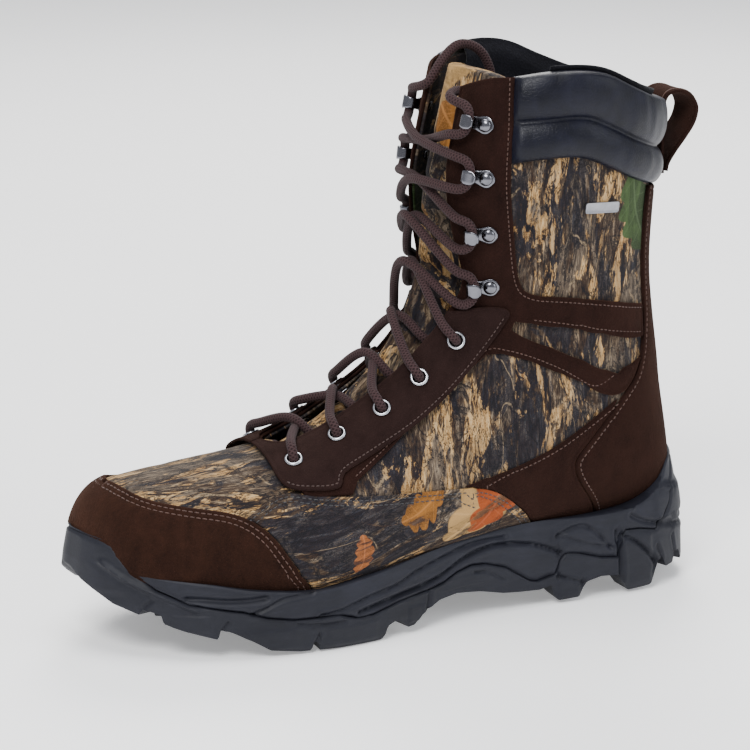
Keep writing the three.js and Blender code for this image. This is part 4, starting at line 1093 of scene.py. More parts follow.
# %% Grid maker
def weave(columns, rows, place, back=None, grain=None):
    """A bmesh grid with its points at place(s, t); back gives the far face of a closed piece."""
    bm = bmesh.new()
    bmesh.ops.create_grid(bm, x_segments=columns, y_segments=rows, size=.5)
    number = bm.verts.layers.int.new("number")
    st = np.array([v.co[:2] for v in bm.verts]) + .5
    for i, vert in enumerate(bm.verts):
        vert[number] = i
    front = place(st[:, 0], st[:, 1])
    uvs = grain(st, front) if grain else st
    if back is not None:
        far = back(st[:, 0], st[:, 1])
        grown = bmesh.ops.extrude_face_region(bm, geom=bm.faces[:], use_keep_orig=True)
        for part in grown["geom"]:
            if isinstance(part, bmesh.types.BMVert):
                part.co = far[part[number]]
        doubled = {part for part in grown["geom"] if isinstance(part, bmesh.types.BMVert)}
    else:
        doubled = set()
    for vert in bm.verts:
        if vert not in doubled:
            vert.co = front[vert[number]]
    layer_uv = bm.loops.layers.uv.new("Grain")
    for face in bm.faces:
        for loop in face.loops:
            loop[layer_uv].uv = uvs[loop.vert[number]]
    return bm


def smoothstep(x, low=0.0, high=1.0):
    t = np.clip((np.asarray(x, float) - low) / (high - low), 0, 1)
    return t * t * (3 - 2 * t)


# %% [markdown]
# ## Tongue
# The tongue is a padded gusset under the facings. Its face, foam and lining lie on the last too,
# nine millimetres in, with a crown down the middle. Between the lace's crossings the padding
# swells; its top edge is rolled over the foam.

# %% Tongue
TONGUE_DROP = 9.0
TONGUE_U = THROAT_U - .025
WING_DEPTHS = [[17], [18], [21], [25], [31], [37], [39], [37], [34], [32], [30], [28]]
TONGUE_TOP = [[-20, 261], [20, 261], [28, 260.6], [36, 259.5], [46, 256], [60, 250], [90, 247]]
CROSSINGS = [float((locate([a], 1)[0, 0] + locate([b], 1)[0, 0]) / 2)
             for a, b in zip((EYELETS + HOOKS)[:-1], (EYELETS + HOOKS)[1:])]


def wing_edge(u, share=1.0, less=0.0):
    """v where the inner layers stop beside the tongue."""
    ax, az, bx, bz, _, _, _, sw, p, _ = np.moveaxis(through(SECTIONS, u), -1, 0)
    length = np.hypot(bx - ax, bz - az)
    depth = through(WING_DEPTHS, (u - TONGUE_U) / (1 - TONGUE_U))[..., 0] * share - less
    return np.arccos(np.clip(1 - depth / length / sw, 0, 1) ** (p / 2)) / math.pi


def tongue_place(depth, rolled):
    """The tongue's surface at a depth below its face; rolled turns its top edge over the foam."""
    def place(s, t):
        side = 2 * s - 1
        lo, hi = np.full(s.shape, .8), np.ones(s.shape)
        for _ in range(24):
            mid = (lo + hi) / 2
            p = skin(mid, wing_edge(mid, .75, 3) * side, -TONGUE_DROP)
            under = p[:, 2] < height_of(TONGUE_TOP, p[:, 0])
            lo, hi = np.where(under, mid, lo), np.where(under, hi, mid)
        end = lo - (.004 if rolled else .012)
        body = np.clip(t / .94, 0, 1)
        roll = np.clip((t - .94) / .06, 0, 1) * math.pi / 2 if rolled else np.zeros_like(t)
        u = TONGUE_U + (end - TONGUE_U) * body
        v = wing_edge(np.minimum(u, 1), .75, 3) * side
        y = last_point(np.minimum(u, 1), v)[:, 1]
        offset = -TONGUE_DROP + 6.2 * np.exp(-(y / 9.5) ** 2) - depth
        puff = 1.0 - sum(np.exp(-((u - c) / .0075) ** 2) for c in CROSSINGS)
        offset = offset + (puff * 1.7 - .5) * np.exp(-(y / 12) ** 2) * smoothstep(u, THROAT_U + .01,
            THROAT_U + .05) * (u < .985)
        offset -= (1 - np.cos(roll)) * 6
        p = last_point(np.minimum(u, 1), v) + last_normal(np.minimum(u, 1), v) * offset[:, None]
        p[:, 2] += np.sin(roll) * 2.2
        return p + last_normal(np.minimum(u, 1), v) * ruffle(p, 11, .35, 2.0)[:, None]
    return place


def tongue_grain(st, points):
    return np.stack([points[:, 1] * .001, st[:, 1] * .26], 1)


tongue = finished("tongue_face_cloth",
                  weave(36, 120, tongue_place(0, True), tongue_place(1.0, True), tongue_grain),
                  "tongue", tongue_cloth, ["tongue_face"])
finished("tongue_padding", weave(20, 60, tongue_place(1.5, False), tongue_place(5.6, False)),
                   "tongue", foam, ["tongue_foam"])
finished("tongue_lining_knit", weave(24, 60, tongue_place(6.3, False), tongue_place(7.2, False)), "tongue",
         black_knit, ["tongue_lining"])

# %% [markdown]
# ## Collar
# The collar is coated leather over two foam rolls, stitched down hard along the bottom and between
# the rolls, so both seams are deep and dark. The top roll turns over the edge of the shaft into
# the lining, which stands a little higher as a stitched, bound edge.

# %% Collar and lining
START_V = [float(abs(locate([p], 1)[0, 1])) for p in ([46.6, 216], [47.4, 234.5], [49.2, 255])]
SEAM_AT, TOP_AT = .45, .9  # rows of the middle seam and of the top edge
LEATHER, FOAM_DEPTH = .9, 1.3


def collar_place(lower):
    """The collar's surface, lowered by some millimetres for the foam and the inner face."""
    def place(s, t):
        start = np.interp(t, [0, SEAM_AT, TOP_AT], START_V)
        v = start + (2 - 2 * start) * s
        bottom, middle, top = (level(points, v) for points in (COLLAR_BOTTOM, COLLAR_SEAM, COLLAR_TOP))
        one, two = np.clip(t / SEAM_AT, 0, 1), np.clip((t - SEAM_AT) / (TOP_AT - SEAM_AT), 0, 1)
        over = np.clip((t - TOP_AT) / (1 - TOP_AT), 0, 1) * math.pi / 2
        u = np.where(t < SEAM_AT, bottom + (middle - bottom) * one, middle + (top - middle) * two)
        rolled = np.where(t < SEAM_AT, np.sin(math.pi * one) ** .5,
                          np.sin(math.pi * np.minimum(two, .5) ** 1.0) ** .5)
        fall = np.where(two > .5, 1 - ((two - .5) / .5) ** 2.2 * .42, 1)
        height = .45 + 4.9 * rolled * fall
        fold = last_point(np.minimum(u, 1), v)
        height += ruffle(fold * [1, 1, .6], 13, .75, 1.3) * rolled + ruffle(fold * [1, 1, .35], 5, .3,
            8.0) * rolled
        tuck = smoothstep(np.minimum(s, 1 - s) * 260, 0, 5.5)
        height = .45 + (height - .45) * tuck
        height = height * np.cos(over) - 1.2 * np.sin(over) - lower
        p = fold + last_normal(np.minimum(u, 1), v) * height[:, None]
        p[:, 2] += np.sin(over) * 1.6
        return p
    return place


collar = finished("collar_leather", weave(220, 72, collar_place(0), collar_place(LEATHER)), "boot",
                  collar_leather, ["collar_cover"])


def foam_place(low_t, high_t, outer):
    def place(s, t):
        s2, t2 = .02 + .96 * s, low_t + (high_t - low_t) * t
        p = collar_place(FOAM_DEPTH)(s2, t2)
        if outer:
            return p
        start = np.interp(t2, [0, SEAM_AT, TOP_AT], START_V)
        v = start + (2 - 2 * start) * s2
        n = last_normal(.95, v)
        return p - n * np.clip(4.4 * np.sin(math.pi * t) ** .5 - .9, .15, 3)[:, None]
    return place


for name, low_t, high_t in (("lower", .06, .39), ("upper", .51, .86)):
    roll = finished(f"collar_padding_{name}",
                    weave(90, 12, foam_place(low_t, high_t, True), foam_place(low_t, high_t, False)),
                    "boot", foam, [f"collar_foam_{name}"])

LINING_RISE, BATTING_STOP = .012, .012
LINING_FACES, BATTING_FACES, FOOTBED_FACES = (-6.4, -7.6), (-2.2, -5.9), (-9.2, -12.6)


def inner_place(offset, rise=0.0, lip=0.0, room=0.0):
    """A layer inside the boot, from the toe to the top, open down the front beside the tongue."""
    def place(s, t):
        body, brim = np.clip(t / .94, 0, 1), np.clip((t - .94) / .06, 0, 1)
        open_v = np.zeros(s.shape)
        v = .5 + s
        for _ in range(3):
            top = level(COLLAR_TOP, v) - .006 - room
            u = .012 + (top - .012) * body
            start = wing_edge(np.clip(u, TONGUE_U, 1)) * smoothstep(u, TONGUE_U - .02, TONGUE_U + .01)
            open_v = start + .002
            v = open_v + (2 - 2 * open_v) * s
        u = u + rise * brim
        p = last_point(np.minimum(u, 1), v)
        return p + last_normal(np.minimum(u, 1), v) * (offset + lip * smoothstep(brim))[:,
            None] * smoothstep(u, -.01, .05)[:, None]
    return place


finished("lining_knit",
         weave(120, 110, inner_place(LINING_FACES[0], LINING_RISE, 4.4),
               inner_place(LINING_FACES[1], LINING_RISE, 4.2)), "boot", black_knit,
               ["lining"])
finished("insulation_batting",
         weave(80, 80, inner_place(BATTING_FACES[0], room=BATTING_STOP),
               inner_place(BATTING_FACES[1], room=BATTING_STOP)), "boot", batting,
               ["insulation"])
rim_v = np.linspace(.17, 1.83, 200)
rim_line = np.stack([np.minimum(level(COLLAR_TOP, rim_v) + .001, 1), rim_v], 1)
seam("lining_edge_stitches", [(rim_line, 0)], -2.0, dark_thread, "lining_fabric", pitch=3.2, length=2.2)


def footbed_place(offset):
    def place(s, t):
        u, v = .085 + .575 * t, 1 + (s - .5) * .44
        drop = offset - 1.2 * np.exp(-((s - .5) / .25) ** 2) * (offset < -10)
        return skin(u, v, drop) - last_normal(u, v) * (ruffle(last_point(u, v), 20, .3, 4.0))[:, None]
    return place


finished("footbed_foam_cloth", weave(30, 90, *map(footbed_place, FOOTBED_FACES)), "footbed",
                   black_knit, ["footbed"])

# %% [markdown]
# ## Pull loop
# A strap of suede folded into a loop: flat up the back of the collar, round, and down again to its
# root. It is a grid along the strap, with both faces from one middle line.

# %% Pull loop
LOOP_LINE = np.array([[146.2, 197.5], [146.0, 206], [146.1, 218], [146.4, 229], [148.0, 234.6],
                      [151.5, 236.8], [156.5, 236.8], [161.5, 234.6], [164.6, 230.5],
                      [165.2, 226.5], [163.2, 220.5], [158.5, 214], [153, 207.6], [149.4, 202.4],
                      [148.3, 198.4]])
LOOP_HALF, BAND = 11.0, 2.1


def loop_place(face):
    def place(s, t):
        p = through(LOOP_LINE, s)
        q = through(LOOP_LINE, np.minimum(s + .004, 1)) - through(LOOP_LINE, np.maximum(s - .004, 0))
        q = unit(q)
        normal = np.stack([-q[:, 1], q[:, 0]], 1)
        across = (2 * t - 1)
        edge = 1 - np.clip((np.abs(across) - .9) / .1, 0, 1) ** 2 * .35
        crown = .25 * np.sin(s * 30) * .2
        middle = p + normal * (face * BAND / 2 * edge + crown)[:, None]
        sag = 1 - .06 * np.sin(math.pi * s)
        return np.stack([middle[:, 0], across * LOOP_HALF * sag, middle[:, 1]], 1)
    return place


finished("pull_loop_suede", weave(110, 22, loop_place(1), loop_place(-1)), "pull_loop",
         strap_suede, ["pull_loop"], sharp=50)
template = capsule(1.9, .33)
bm = bmesh.new()
for edge in (-8.6, 8.6):
    for s in np.arange(.04, .97, .0175):
        q = unit(through(LOOP_LINE, s + .004) - through(LOOP_LINE, s - .004))
        p = through(LOOP_LINE, s) + np.array([-q[1], q[0]]) * (BAND / 2 + .02)
        along, out = Vector((q[0], 0, q[1])), Vector((-q[1], 0, q[0]))
        matrix = Matrix((along.cross(out), out, along)).transposed().to_4x4()
        matrix.translation = (p[0], edge, p[1])
        stamp(bm, template, [matrix])
finished("pull_loop_stitches", bm, "pull_loop", copper_thread, merge=0, recalculate=False)

# %% [markdown]
# ## Eyelets, hooks and the tag
# Fittings are built about their own axis (across the boot, up the facing, outwards) and then set
# on the last. An eyelet is a spun profile with a rolled rim. A hook is a plate under a domed rivet,
# narrowed and bent back over itself, so the lace slips in from behind.

# %% Fittings
def seat(place, side):
    """The frame of a fitting: x towards the throat on the inner side, y up the facing, z out."""
    u, v = locate([place], side)[0]
    up = unit(last_point(u + .014, v) - last_point(u - .014, v))
    out = unit(np.cross(up, last_point(u, v + .03) - last_point(u, v - .03)))
    matrix = Matrix((np.cross(up, out), up, out)).transposed().to_4x4()
    matrix.translation = Vector(last_point(u, v))
    return matrix


def spun(profile, steps=36):
    """A profile of [radius, height] points turned about z."""
    bm = bmesh.new()
    verts = [bm.verts.new((r, 0, h)) for r, h in profile]
    edges = [bm.edges.new(pair) for pair in zip(verts, verts[1:])]
    bmesh.ops.spin(bm, geom=verts + edges, cent=(0, 0, 0), axis=(0, 0, 1), angle=2 * math.pi, steps=steps,
                   use_merge=True)
    bmesh.ops.remove_doubles(bm, verts=bm.verts, dist=1e-4)
    bmesh.ops.recalc_face_normals(bm, faces=bm.faces)
    return bm


EYELET = [(2.8, -2.6), (2.8, 3.9), (2.95, 4.35), (3.25, 4.62), (3.6, 4.68), (3.95, 4.55), (4.25, 4.25),
          (4.4, 3.9), (4.3, 3.68), (3.3, 3.66),
          (3.3, -2.1), (4.0, -2.15), (4.0, -2.55), (3.4, -2.75), (2.8, -2.6)]
for name, side in SIDES.items():
    for i, place in enumerate(EYELETS):
        bm = spun(EYELET)
        bmesh.ops.transform(bm, matrix=seat(place, side), verts=bm.verts)
        finished(f"eyelet_ring_{name}_{i + 1}", bm, "boot", silver, [f"eyelet_{name}_{i + 1}"])

HOOK_REACH, HOOK_PLATE, HOOK_BASE, HOOK_BEND = 11, .95, 2.0, 3.0
RIVET = [(0, -2.9), (2.4, -2.9), (2.4, -2.3), (1.2, -2.2), (1.2, 2.9), (3.1, 2.95), (3.25, 3.2),
         (3.1, 3.75), (2.5, 4.35), (1.5, 4.8), (.6, 4.95), (0, 4.97)]
bend_x, bend_z = HOOK_REACH - HOOK_PLATE - HOOK_BEND, HOOK_BASE + HOOK_PLATE + HOOK_BEND
mid = HOOK_BEND + HOOK_PLATE / 2
HOOK_LINE = np.array([(-4.3, HOOK_BASE + .47), (-2.2, HOOK_BASE + .47), (0, HOOK_BASE + .47),
                      (2.2, HOOK_BASE + .47), (4.6, HOOK_BASE + .47)]
                     + [(bend_x + mid * math.cos(a), bend_z + mid * math.sin(a))
                        for a in np.linspace(-math.pi / 2, math.pi / 2, 9)]
                     + [(5.0, bend_z + mid + .1), (3.6, bend_z + mid + .75)])
HOOK_HALF = [[.9], [3.5], [4.1], [3.6], [2.9], [2.7], [2.6], [2.6], [2.6], [2.7], [2.8], [3.0], [3.2],
             [3.3], [2.9], [1.5]]


def hook_place(side, face):
    def place(s, t):
        p = through(HOOK_LINE, s)
        q = unit(through(HOOK_LINE, np.minimum(s + .01, 1)) - through(HOOK_LINE, np.maximum(s - .01, 0)))
        half = through(HOOK_HALF, s)[:, 0]
        across = np.sin((2 * t - 1) * math.pi / 2)
        edge = 1 - np.clip((np.abs(across) - .75) / .25, 0, 1) ** 2 * .5
        p = p + np.stack([-q[:, 1], q[:, 0]], 1) * (face * HOOK_PLATE / 2 * edge)[:, None]
        return np.stack([side * p[:, 0], across * half, p[:, 1]], 1)
    return place


for name, side in SIDES.items():
    for i, place in enumerate(HOOKS):
        bm = weave(54, 12, hook_place(side, 1), hook_place(side, -1))
        gather(bm, spun(RIVET, 28))
        bmesh.ops.transform(bm, matrix=seat(place, side), verts=bm.verts)
        finished(f"lace_hook_{name}_{i + 1}", bm, "boot", dark_chrome, [f"hook_{name}_{i + 1}"])

bm = bmesh.new()
bmesh.ops.create_cube(bm, size=1)
bmesh.ops.scale(bm, verts=bm.verts, vec=(19, 5.2, 1.0))
bmesh.ops.bevel(bm, geom=[e for e in bm.edges if abs(e.verts[0].co.z - e.verts[1].co.z) > .5], offset=1.1,
                segments=5, profile=.5, affect="EDGES", material=-1)
top_face = max(bm.faces, key=lambda f: f.calc_center_median().z)
bmesh.ops.inset_region(bm, faces=[top_face], thickness=.55, depth=0)
bmesh.ops.translate(bm, verts=top_face.verts, vec=(0, 0, -.28))
rim_edges = [e for e in bm.edges
             if e.calc_length() > .1 and len(e.link_faces) == 2 and e.calc_face_angle(0) > .6]
bmesh.ops.bevel(bm, geom=rim_edges, offset=.14, segments=2, profile=.5, affect="EDGES", material=-1)
tag_seat = seat([91.5, 192], -1)
bmesh.ops.transform(bm, matrix=tag_seat @ Matrix.Translation((0, 0, 1.0)), verts=bm.verts)
finished("blank_tag", bm, "boot", tag_metal, ["tag"], sharp=40)

# %% [markdown]
# ## Lace
# One lace of about a metre and a half runs from behind the outer facing, down through the hooks and
# eyelets, under the tongue's foot and up again over the top of the tongue. At each eyelet it comes
# up through the hole and crosses over the tongue, then dives beneath the opposite facing. Its path
# is one smooth curve through a few points about each fitting, and its UV map runs along and around
# it for the braid.

# %% Lace
LACE_RADIUS = 2.3
LACE_END = [[30.5, 12, 247], [38, 12, 257.5], [47.5, 13, 264], [57, 12, 261], [63, 11, 250], [63, 11, 232]]
LACE_TUCK = [[19.5, 8.6, 4.4], [20.5, 10.6, .2], [19, 12, -4.8], [14, 12.4, -6.4], [9, 12, -6.5]]
OVER, UNDER = 6.4, -4.9


def spot(place, side, local):
    a, up, out = local
    return seat(place, side) @ Vector((side * a, up, out))


def over_ridge(low, high, out):
    u = (locate([low], 1)[0, 0] + locate([high], 1)[0, 0]) / 2
    return Vector(skin(u, 0.0, out))


def climb(side):
    points, rise = [], 2.6 if side > 0 else -2.3
    for i, place in enumerate(EYELETS):
        points += [spot(place, side, p)
                   for p in ((1, -.6, UNDER - .6), (0, 0, -2.4), (0, 0, 5.2), (2.6, .8, OVER + 1.1),
                             (8.5, 3, OVER))]
        if i + 1 < len(EYELETS):
            after = EYELETS[i + 1]
            points += [over_ridge(place, after, 3.0 + rise), spot(after, -side, (12.5, -5.5, UNDER + .5)),
                       spot(after, -side, (8, -3.4, UNDER - .6))]
        else:
            points.append(over_ridge(place, HOOKS[0], 4.0 + rise))
        side = -side
    channel = bend_z
    for i, place in enumerate(HOOKS):
        route = ((14, -7.4, 5.4 if i else 6.8), (10, -7, 5.6 if i else 6.4), (bend_x + .5, -4.2, channel),
                 (bend_x, 0, channel),
                 (bend_x + .5, 4.2, channel), (10, 7, 5.5), (14, 7.4, 5.2))
        points += [spot(place, side, p) for p in route]
        if i + 1 < len(HOOKS):
            points.append(over_ridge(place, HOOKS[i + 1], 4.2 + rise))
        side = -side
    return points


bridge = Vector(skin(locate([EYELETS[0]], 1)[0, 0], 0.0, -2.6))
tucked = [spot(HOOKS[-1], -1, p) for p in LACE_TUCK]
route = (climb(-1) + tucked)[::-1] + [bridge] + climb(1) + [Vector(p) for p in LACE_END]


def smooth_path(points, pitch):
    """A centripetal Catmull-Rom curve through points, evenly spaced."""
    p = np.array([list(q) for q in points])
    p = np.vstack([2 * p[0] - p[1], p, 2 * p[-1] - p[-2]])
    out = []
    for a, b, c, d in zip(p, p[1:], p[2:], p[3:]):
        t0, t1 = 0, np.linalg.norm(b - a) ** .5
        t2 = t1 + np.linalg.norm(c - b) ** .5
        t3 = t2 + np.linalg.norm(d - c) ** .5
        t = np.linspace(t1, t2, 14, endpoint=False)[:, None]
        a1 = (t1 - t) / (t1 - t0) * a + (t - t0) / (t1 - t0) * b
        a2 = (t2 - t) / (t2 - t1) * b + (t - t1) / (t2 - t1) * c
        a3 = (t3 - t) / (t3 - t2) * c + (t - t2) / (t3 - t2) * d
        b1 = (t2 - t) / (t2 - t0) * a1 + (t - t0) / (t2 - t0) * a2
        b2 = (t3 - t) / (t3 - t1) * a2 + (t - t1) / (t3 - t1) * a3
        out.append((t2 - t) / (t2 - t1) * b1 + (t - t1) / (t2 - t1) * b2)
    path = np.vstack(out + [p[-2:-1]])
    run = np.r_[0, np.cumsum(np.linalg.norm(np.diff(path, axis=0), axis=1))]
    at = np.linspace(0, run[-1], int(run[-1] / pitch) + 1)
    return np.stack([np.interp(at, run, path[:, k]) for k in range(3)], 1), float(run[-1])


lace_path, lace_length = smooth_path(route, 1.5)
for _ in range(3):
    lace_path[1:-1] = lace_path[1:-1] * .5 + (lace_path[:-2] + lace_path[2:]) * .25
tangents = unit(np.gradient(lace_path, axis=0))
sides, keep = [], np.array([0, 0, 1.0])
for along in tangents:
    keep = keep - along * (keep @ along)
    keep = keep / np.linalg.norm(keep)
    sides.append(keep)
sides = np.array(sides)
others = np.cross(tangents, sides)


def lace_place(s, t):
    i = np.rint(s * (len(lace_path) - 1)).astype(int)
    angle = (t * 2 * math.pi)[:, None]
    return lace_path[i] + (sides[i] * np.cos(angle) + others[i] * np.sin(angle)) * LACE_RADIUS


def lace_grain(st, points):
    return np.stack([st[:, 0] * lace_length * .001, st[:, 1]], 1)


bm = weave(len(lace_path) - 1, 14, lace_place, grain=lace_grain)
bmesh.ops.remove_doubles(bm, verts=bm.verts, dist=.01)
bmesh.ops.holes_fill(bm, edges=bm.edges, sides=0)
finished("braided_lace", bm, "boot", lace_cord, ["lace"])
print("lace length, mm:", round(lace_length))

# %% [markdown]
# ## Sole
# The sole is one sculpted wall round the foot, split along a wavy line into a softer midsole above
# and the tread's rubber below, which climbs over the toe and heel as bumpers. The wall is a grid:
# columns round the plan outline, rows from the lugs' feet to the top edge. Where swoops and grooves
# are drawn in the side view, the rows are pushed in or out by their distance from the lines.

# %% The sole's lines
SOLE_PLAN = [[-159, 12], [-154, -10], [-145, -24], [-130, -38], [-110, -50], [-85, -57.5], [-60, -61],
             [-30, -59], [0, -52], [30, -46.5],
             [60, -45], [95, -46], [125, -44], [145, -34], [156, -16], [159, 0], [156, 17], [145, 35],
             [125, 44], [95, 45], [60, 42], [30, 41],
             [0, 43], [-30, 48], [-60, 51], [-85, 50.5], [-110, 45], [-130, 36.5], [-145, 27], [-154, 23]]
SOLE_SPLIT = [[-175, 66], [-148, 54], [-142, 39.5], [-132, 31.5], [-119, 25.5], [-108, 23.6], [-96, 21.5],
              [-85, 18], [-73, 16.2], [-51, 16],
              [-42, 13.2], [-33, 13.2], [-18, 16.6], [0, 18.4], [8, 20], [16, 23.6], [25, 25.4],
              [33, 24.8], [44, 21.4], [50, 17.5], [57, 13],
              [61, 12.2], [71, 14.5], [73, 21], [76, 24], [84, 23], [95, 19.8], [105, 18.6], [107, 27],
              [109, 31], [118, 30.5], [128, 28.5],
              [138, 40], [150, 62], [175, 80]]
LUG_FEET = [[-175, 44], [-158.5, 36], [-156, 32], [-152, 28], [-147, 24], [-138, 20.2], [-136.8, 22.8],
            [-134.5, 22.2], [-130, 20.8], [-129, 16.7],
            [-119, 13], [-107.5, 9.8], [-106.3, 14], [-103, 13.4], [-101, 12.6], [-92, 8], [-84, 3],
            [-70, 1.0], [-65, .9], [-64, 5], [-61.6, 5],
            [-60.6, .6], [-50, 0], [-28, 0], [-26.6, 1.2], [-25, 6.4], [-21, 8], [-17, 7.2], [-13, 3.2],
            [-9, 3.6], [-5, 8], [5.6, 12.8], [15.5, 14],
            [29, 12.4], [42, 9.4], [50, 8.6], [62, 8], [68.5, 9.6], [69.6, 4.4], [72.5, 1.2], [83.5, 1.8],
            [85.4, 6.5], [87.5, 9], [95, 10.6],
            [105, 10], [107, 6], [111, 1.0], [124.5, 1.6], [126.4, 9], [128, 13.6], [131.6, 14.4],
            [133.6, 9], [139, 9.6], [141.2, 15], [145, 14.4],
            [147.4, 8.6], [157, 8], [175, 8]]
UNDERSIDE = [[-175, 44], [-156, 34], [-146, 28], [-130, 22.8], [-110, 17], [-88, 11.5], [-60, 9], [-25, 9],
             [-5, 12], [15, 15], [38, 13.5], [60, 11],
             [85, 9.5], [120, 10], [145, 14], [160, 17], [175, 20]]
# grooves: half width, depth (negative is raised) and the line
GROOVES = [
    (1.3, 1.1, [[-120, 28.2], [-112, 28], [-104, 27.2], [-95, 27], [-86, 27.8]]),
    (.9, .75, [[-92, 20.6], [-86, 23], [-81, 25.4], [-75, 27.2], [-64, 28.2]]),
    (.9, .8, [[-60, 17], [-51, 17.8], [-42, 20.2], [-33, 22.5], [-18, 25], [-8, 28.4], [3, 31], [12, 33.2],
              [26, 35.8], [44, 36.4]]),
    (1.1, 1.3, [[-40, 15.5], [-30, 17.6], [-18, 19.6], [-4, 21.4], [7.5, 24], [19, 28.8], [31, 32.2],
                [42, 33], [56.6, 31], [65, 28.4], [74, 24.4]]),
    (.9, .7, [[0, 17.8], [-1.6, 10]]),
    (1.0, .8, [[72, 33], [87, 36.2], [101, 24]]), (.9, .6, [[72, 33], [88, 27.2], [101, 24]]),
    (1.1, .9, [[113.5, 37.6], [120.9, 33.8], [133, 31], [156, 26]]),
    (1.2, -.9, [[114.3, 41.6], [118, 45.2], [128, 48.6], [142, 47]]),
    (1.0, 1.2, [[104.4, 31.5], [104.2, 28.9], [106, 18.5], [106.2, 8]]),
    (1.0, 1.2, [[106, 29.4], [113.3, 26], [120.3, 20], [126.4, 12.6]]),
    (.8, .8, [[71.5, 13.6], [83, 9.8], [86, 8.6]]), (.7, .6, [[-137, 23], [-133.5, 27]]),
    (.7, .6, [[-106, 14], [-103, 17.6]]), (.7, .6, [[-63, 5], [-61, 9]]),
    (.8, .7, [[131, 14.6], [128, 21]]), (.8, .7, [[141, 15], [139, 23]]),
    (1.0, -.8, [[-151, 42], [-140, 34], [-128, 28.6], [-116, 23.2]]),
    (.7, .5, [[-72, 14.4], [-60, 13], [-48, 12.8]]), (.7, .45, [[26, 22], [34, 20.8], [42, 16]]),
]
# raised patches: centre x, z, half sizes and height
PATCHES = [(115, 16, 9.5, 13, .9), (78, 6, 6, 6.5, .8), (88, 30, 12, 4, .5), (-118, 17, 9, 4, .5),
           (-84, 8, 14, 5, .45), (-44, 6, 14, 5, .45),
           (142, 40, 15, 7, 1.2), (-8, 9, 5, 4, .6), (22, 19, 14, 2.6, .4), (-150, 40, 8, 12, .6)]
COLUMNS, EDGE_LIP = 900, .6
WALL_HEIGHTS, WALL_INSETS = [-1, 3, 10, 24, 40, 64], [2.4, .6, 0, .5, 2.4, 7.0]
plan = np.array(SOLE_PLAN, float)
loop_plan = np.vstack([plan[-3:], plan, plan[:4]])
dense = through(loop_plan,
                np.linspace(3 / (len(loop_plan) - 1), (3 + len(plan)) / (len(loop_plan) - 1), 3000))
run = np.r_[0, np.cumsum(np.linalg.norm(np.diff(dense, axis=0), axis=1))]
at = np.linspace(0, run[-1], COLUMNS + 1)
plan_xy = np.stack([np.interp(at, run, dense[:, k]) for k in (0, 1)], 1)
plan_xy[-1] = plan_xy[0]
tangent = unit(np.roll(plan_xy[:-1], -1, 0) - np.roll(plan_xy[:-1], 1, 0))
tangent = np.vstack([tangent, tangent[:1]])
plan_out = np.stack([tangent[:, 1], -tangent[:, 0]], 1)


def spread(points, x):
    return np.interp(x, *np.array(points, float).T)


column_x = plan_xy[:, 0]
edge_z = height_of(SOLE_EDGE, column_x)
split_z = np.minimum(spread(SOLE_SPLIT, column_x), edge_z - EDGE_LIP)
feet_z = np.minimum(spread(LUG_FEET, column_x), split_z - 3)
under_z = np.maximum(height_of(UNDERSIDE, column_x), feet_z + .2)


def relief(x, z):
    """How far the wall stands out at a side-view place."""
    push = np.zeros(x.shape)
    for width, depth, points in GROOVES:
        smooth = np.array(line(points, 5))
        near = np.full(x.shape, 1e9)
        for a, b in zip(smooth, smooth[1:]):
            d = b - a
            k = np.clip(((x - a[0]) * d[0] + (z - a[1]) * d[1]) / (d @ d), 0, 1)
            near = np.minimum(near, np.hypot(x - a[0] - k * d[0], z - a[1] - k * d[1]))
        push -= depth * 1.5 * np.exp(-(near / (width * .9)) ** 2) - depth * .35 * np.exp(-((near - width
            * 2.3) / width) ** 2)
    for cx, cz, rx, rz, height in PATCHES:
        far = np.maximum(np.abs(x - cx) / rx, np.abs(z - cz) / rz)
        push += height * (1 - smoothstep(far, .78, 1.08))
    return push


def wall(columns, z, extra=0.0):
    """Points of the sole's wall at column numbers and heights."""
    i = np.rint(columns * COLUMNS).astype(int)
    inset_by = np.interp(z, WALL_HEIGHTS, WALL_INSETS)
    push = relief(column_x[i], z) + extra - inset_by
    xy = plan_xy[i] + plan_out[i] * push[:, None]
    return np.stack([xy[:, 0], xy[:, 1], z], 1)


last_bm = weave(160, 200, lambda s, t: skin(s, 2 * t - 1, 2.1))
last_bm.faces.ensure_lookup_table()
last_tree = BVHTree.FromBMesh(last_bm)
last_bm.free()


def fit(i, z, fallback=9.0):
    """How far inside the plan outline the upper's side lies at a height."""
    start = Vector((plan_xy[i, 0] + plan_out[i, 0] * 4, plan_xy[i, 1] + plan_out[i, 1] * 4, z))
    hit = last_tree.ray_cast(start, Vector((-plan_out[i, 0], -plan_out[i, 1], 0)), 40)
    return float(hit[3]) - 4 if hit[0] is not None else fallback


def round_smooth(values, times=6):
    for _ in range(times):
        values = (np.roll(values, 1) + values * 2 + np.roll(values, -1)) / 4
    return values


own_wall = np.interp(edge_z, WALL_HEIGHTS, WALL_INSETS)
lip_in = round_smooth(np.array([fit(i, edge_z[i]) for i in range(COLUMNS + 1)]))
lip_in = np.maximum(lip_in, own_wall + .9)
low_in = np.maximum(round_smooth(np.array([fit(i, edge_z[i] - 8) for i in range(COLUMNS + 1)])),
                    lip_in + .2)
spine_y = 2.0
spine_x = np.clip(column_x, -138, 140)
RING_IN, SHELF_IN, BASE_IN = 13, 14, 14.4
turned_round = smoothstep(np.abs(plan_out[:, 0]), .35, .75)


def below_ring(line_at, depth, side_z):
    """Height of a side-view line where a ring lies: at the ring's own x round the toe and heel,
    and at its column's x along the sides."""
    own = line_at(column_x - plan_out[:, 0] * depth)
    return side_z + (own - side_z) * turned_round


def tread_under(x):
    return np.maximum(height_of(UNDERSIDE, x), spread(LUG_FEET, x) + .2)


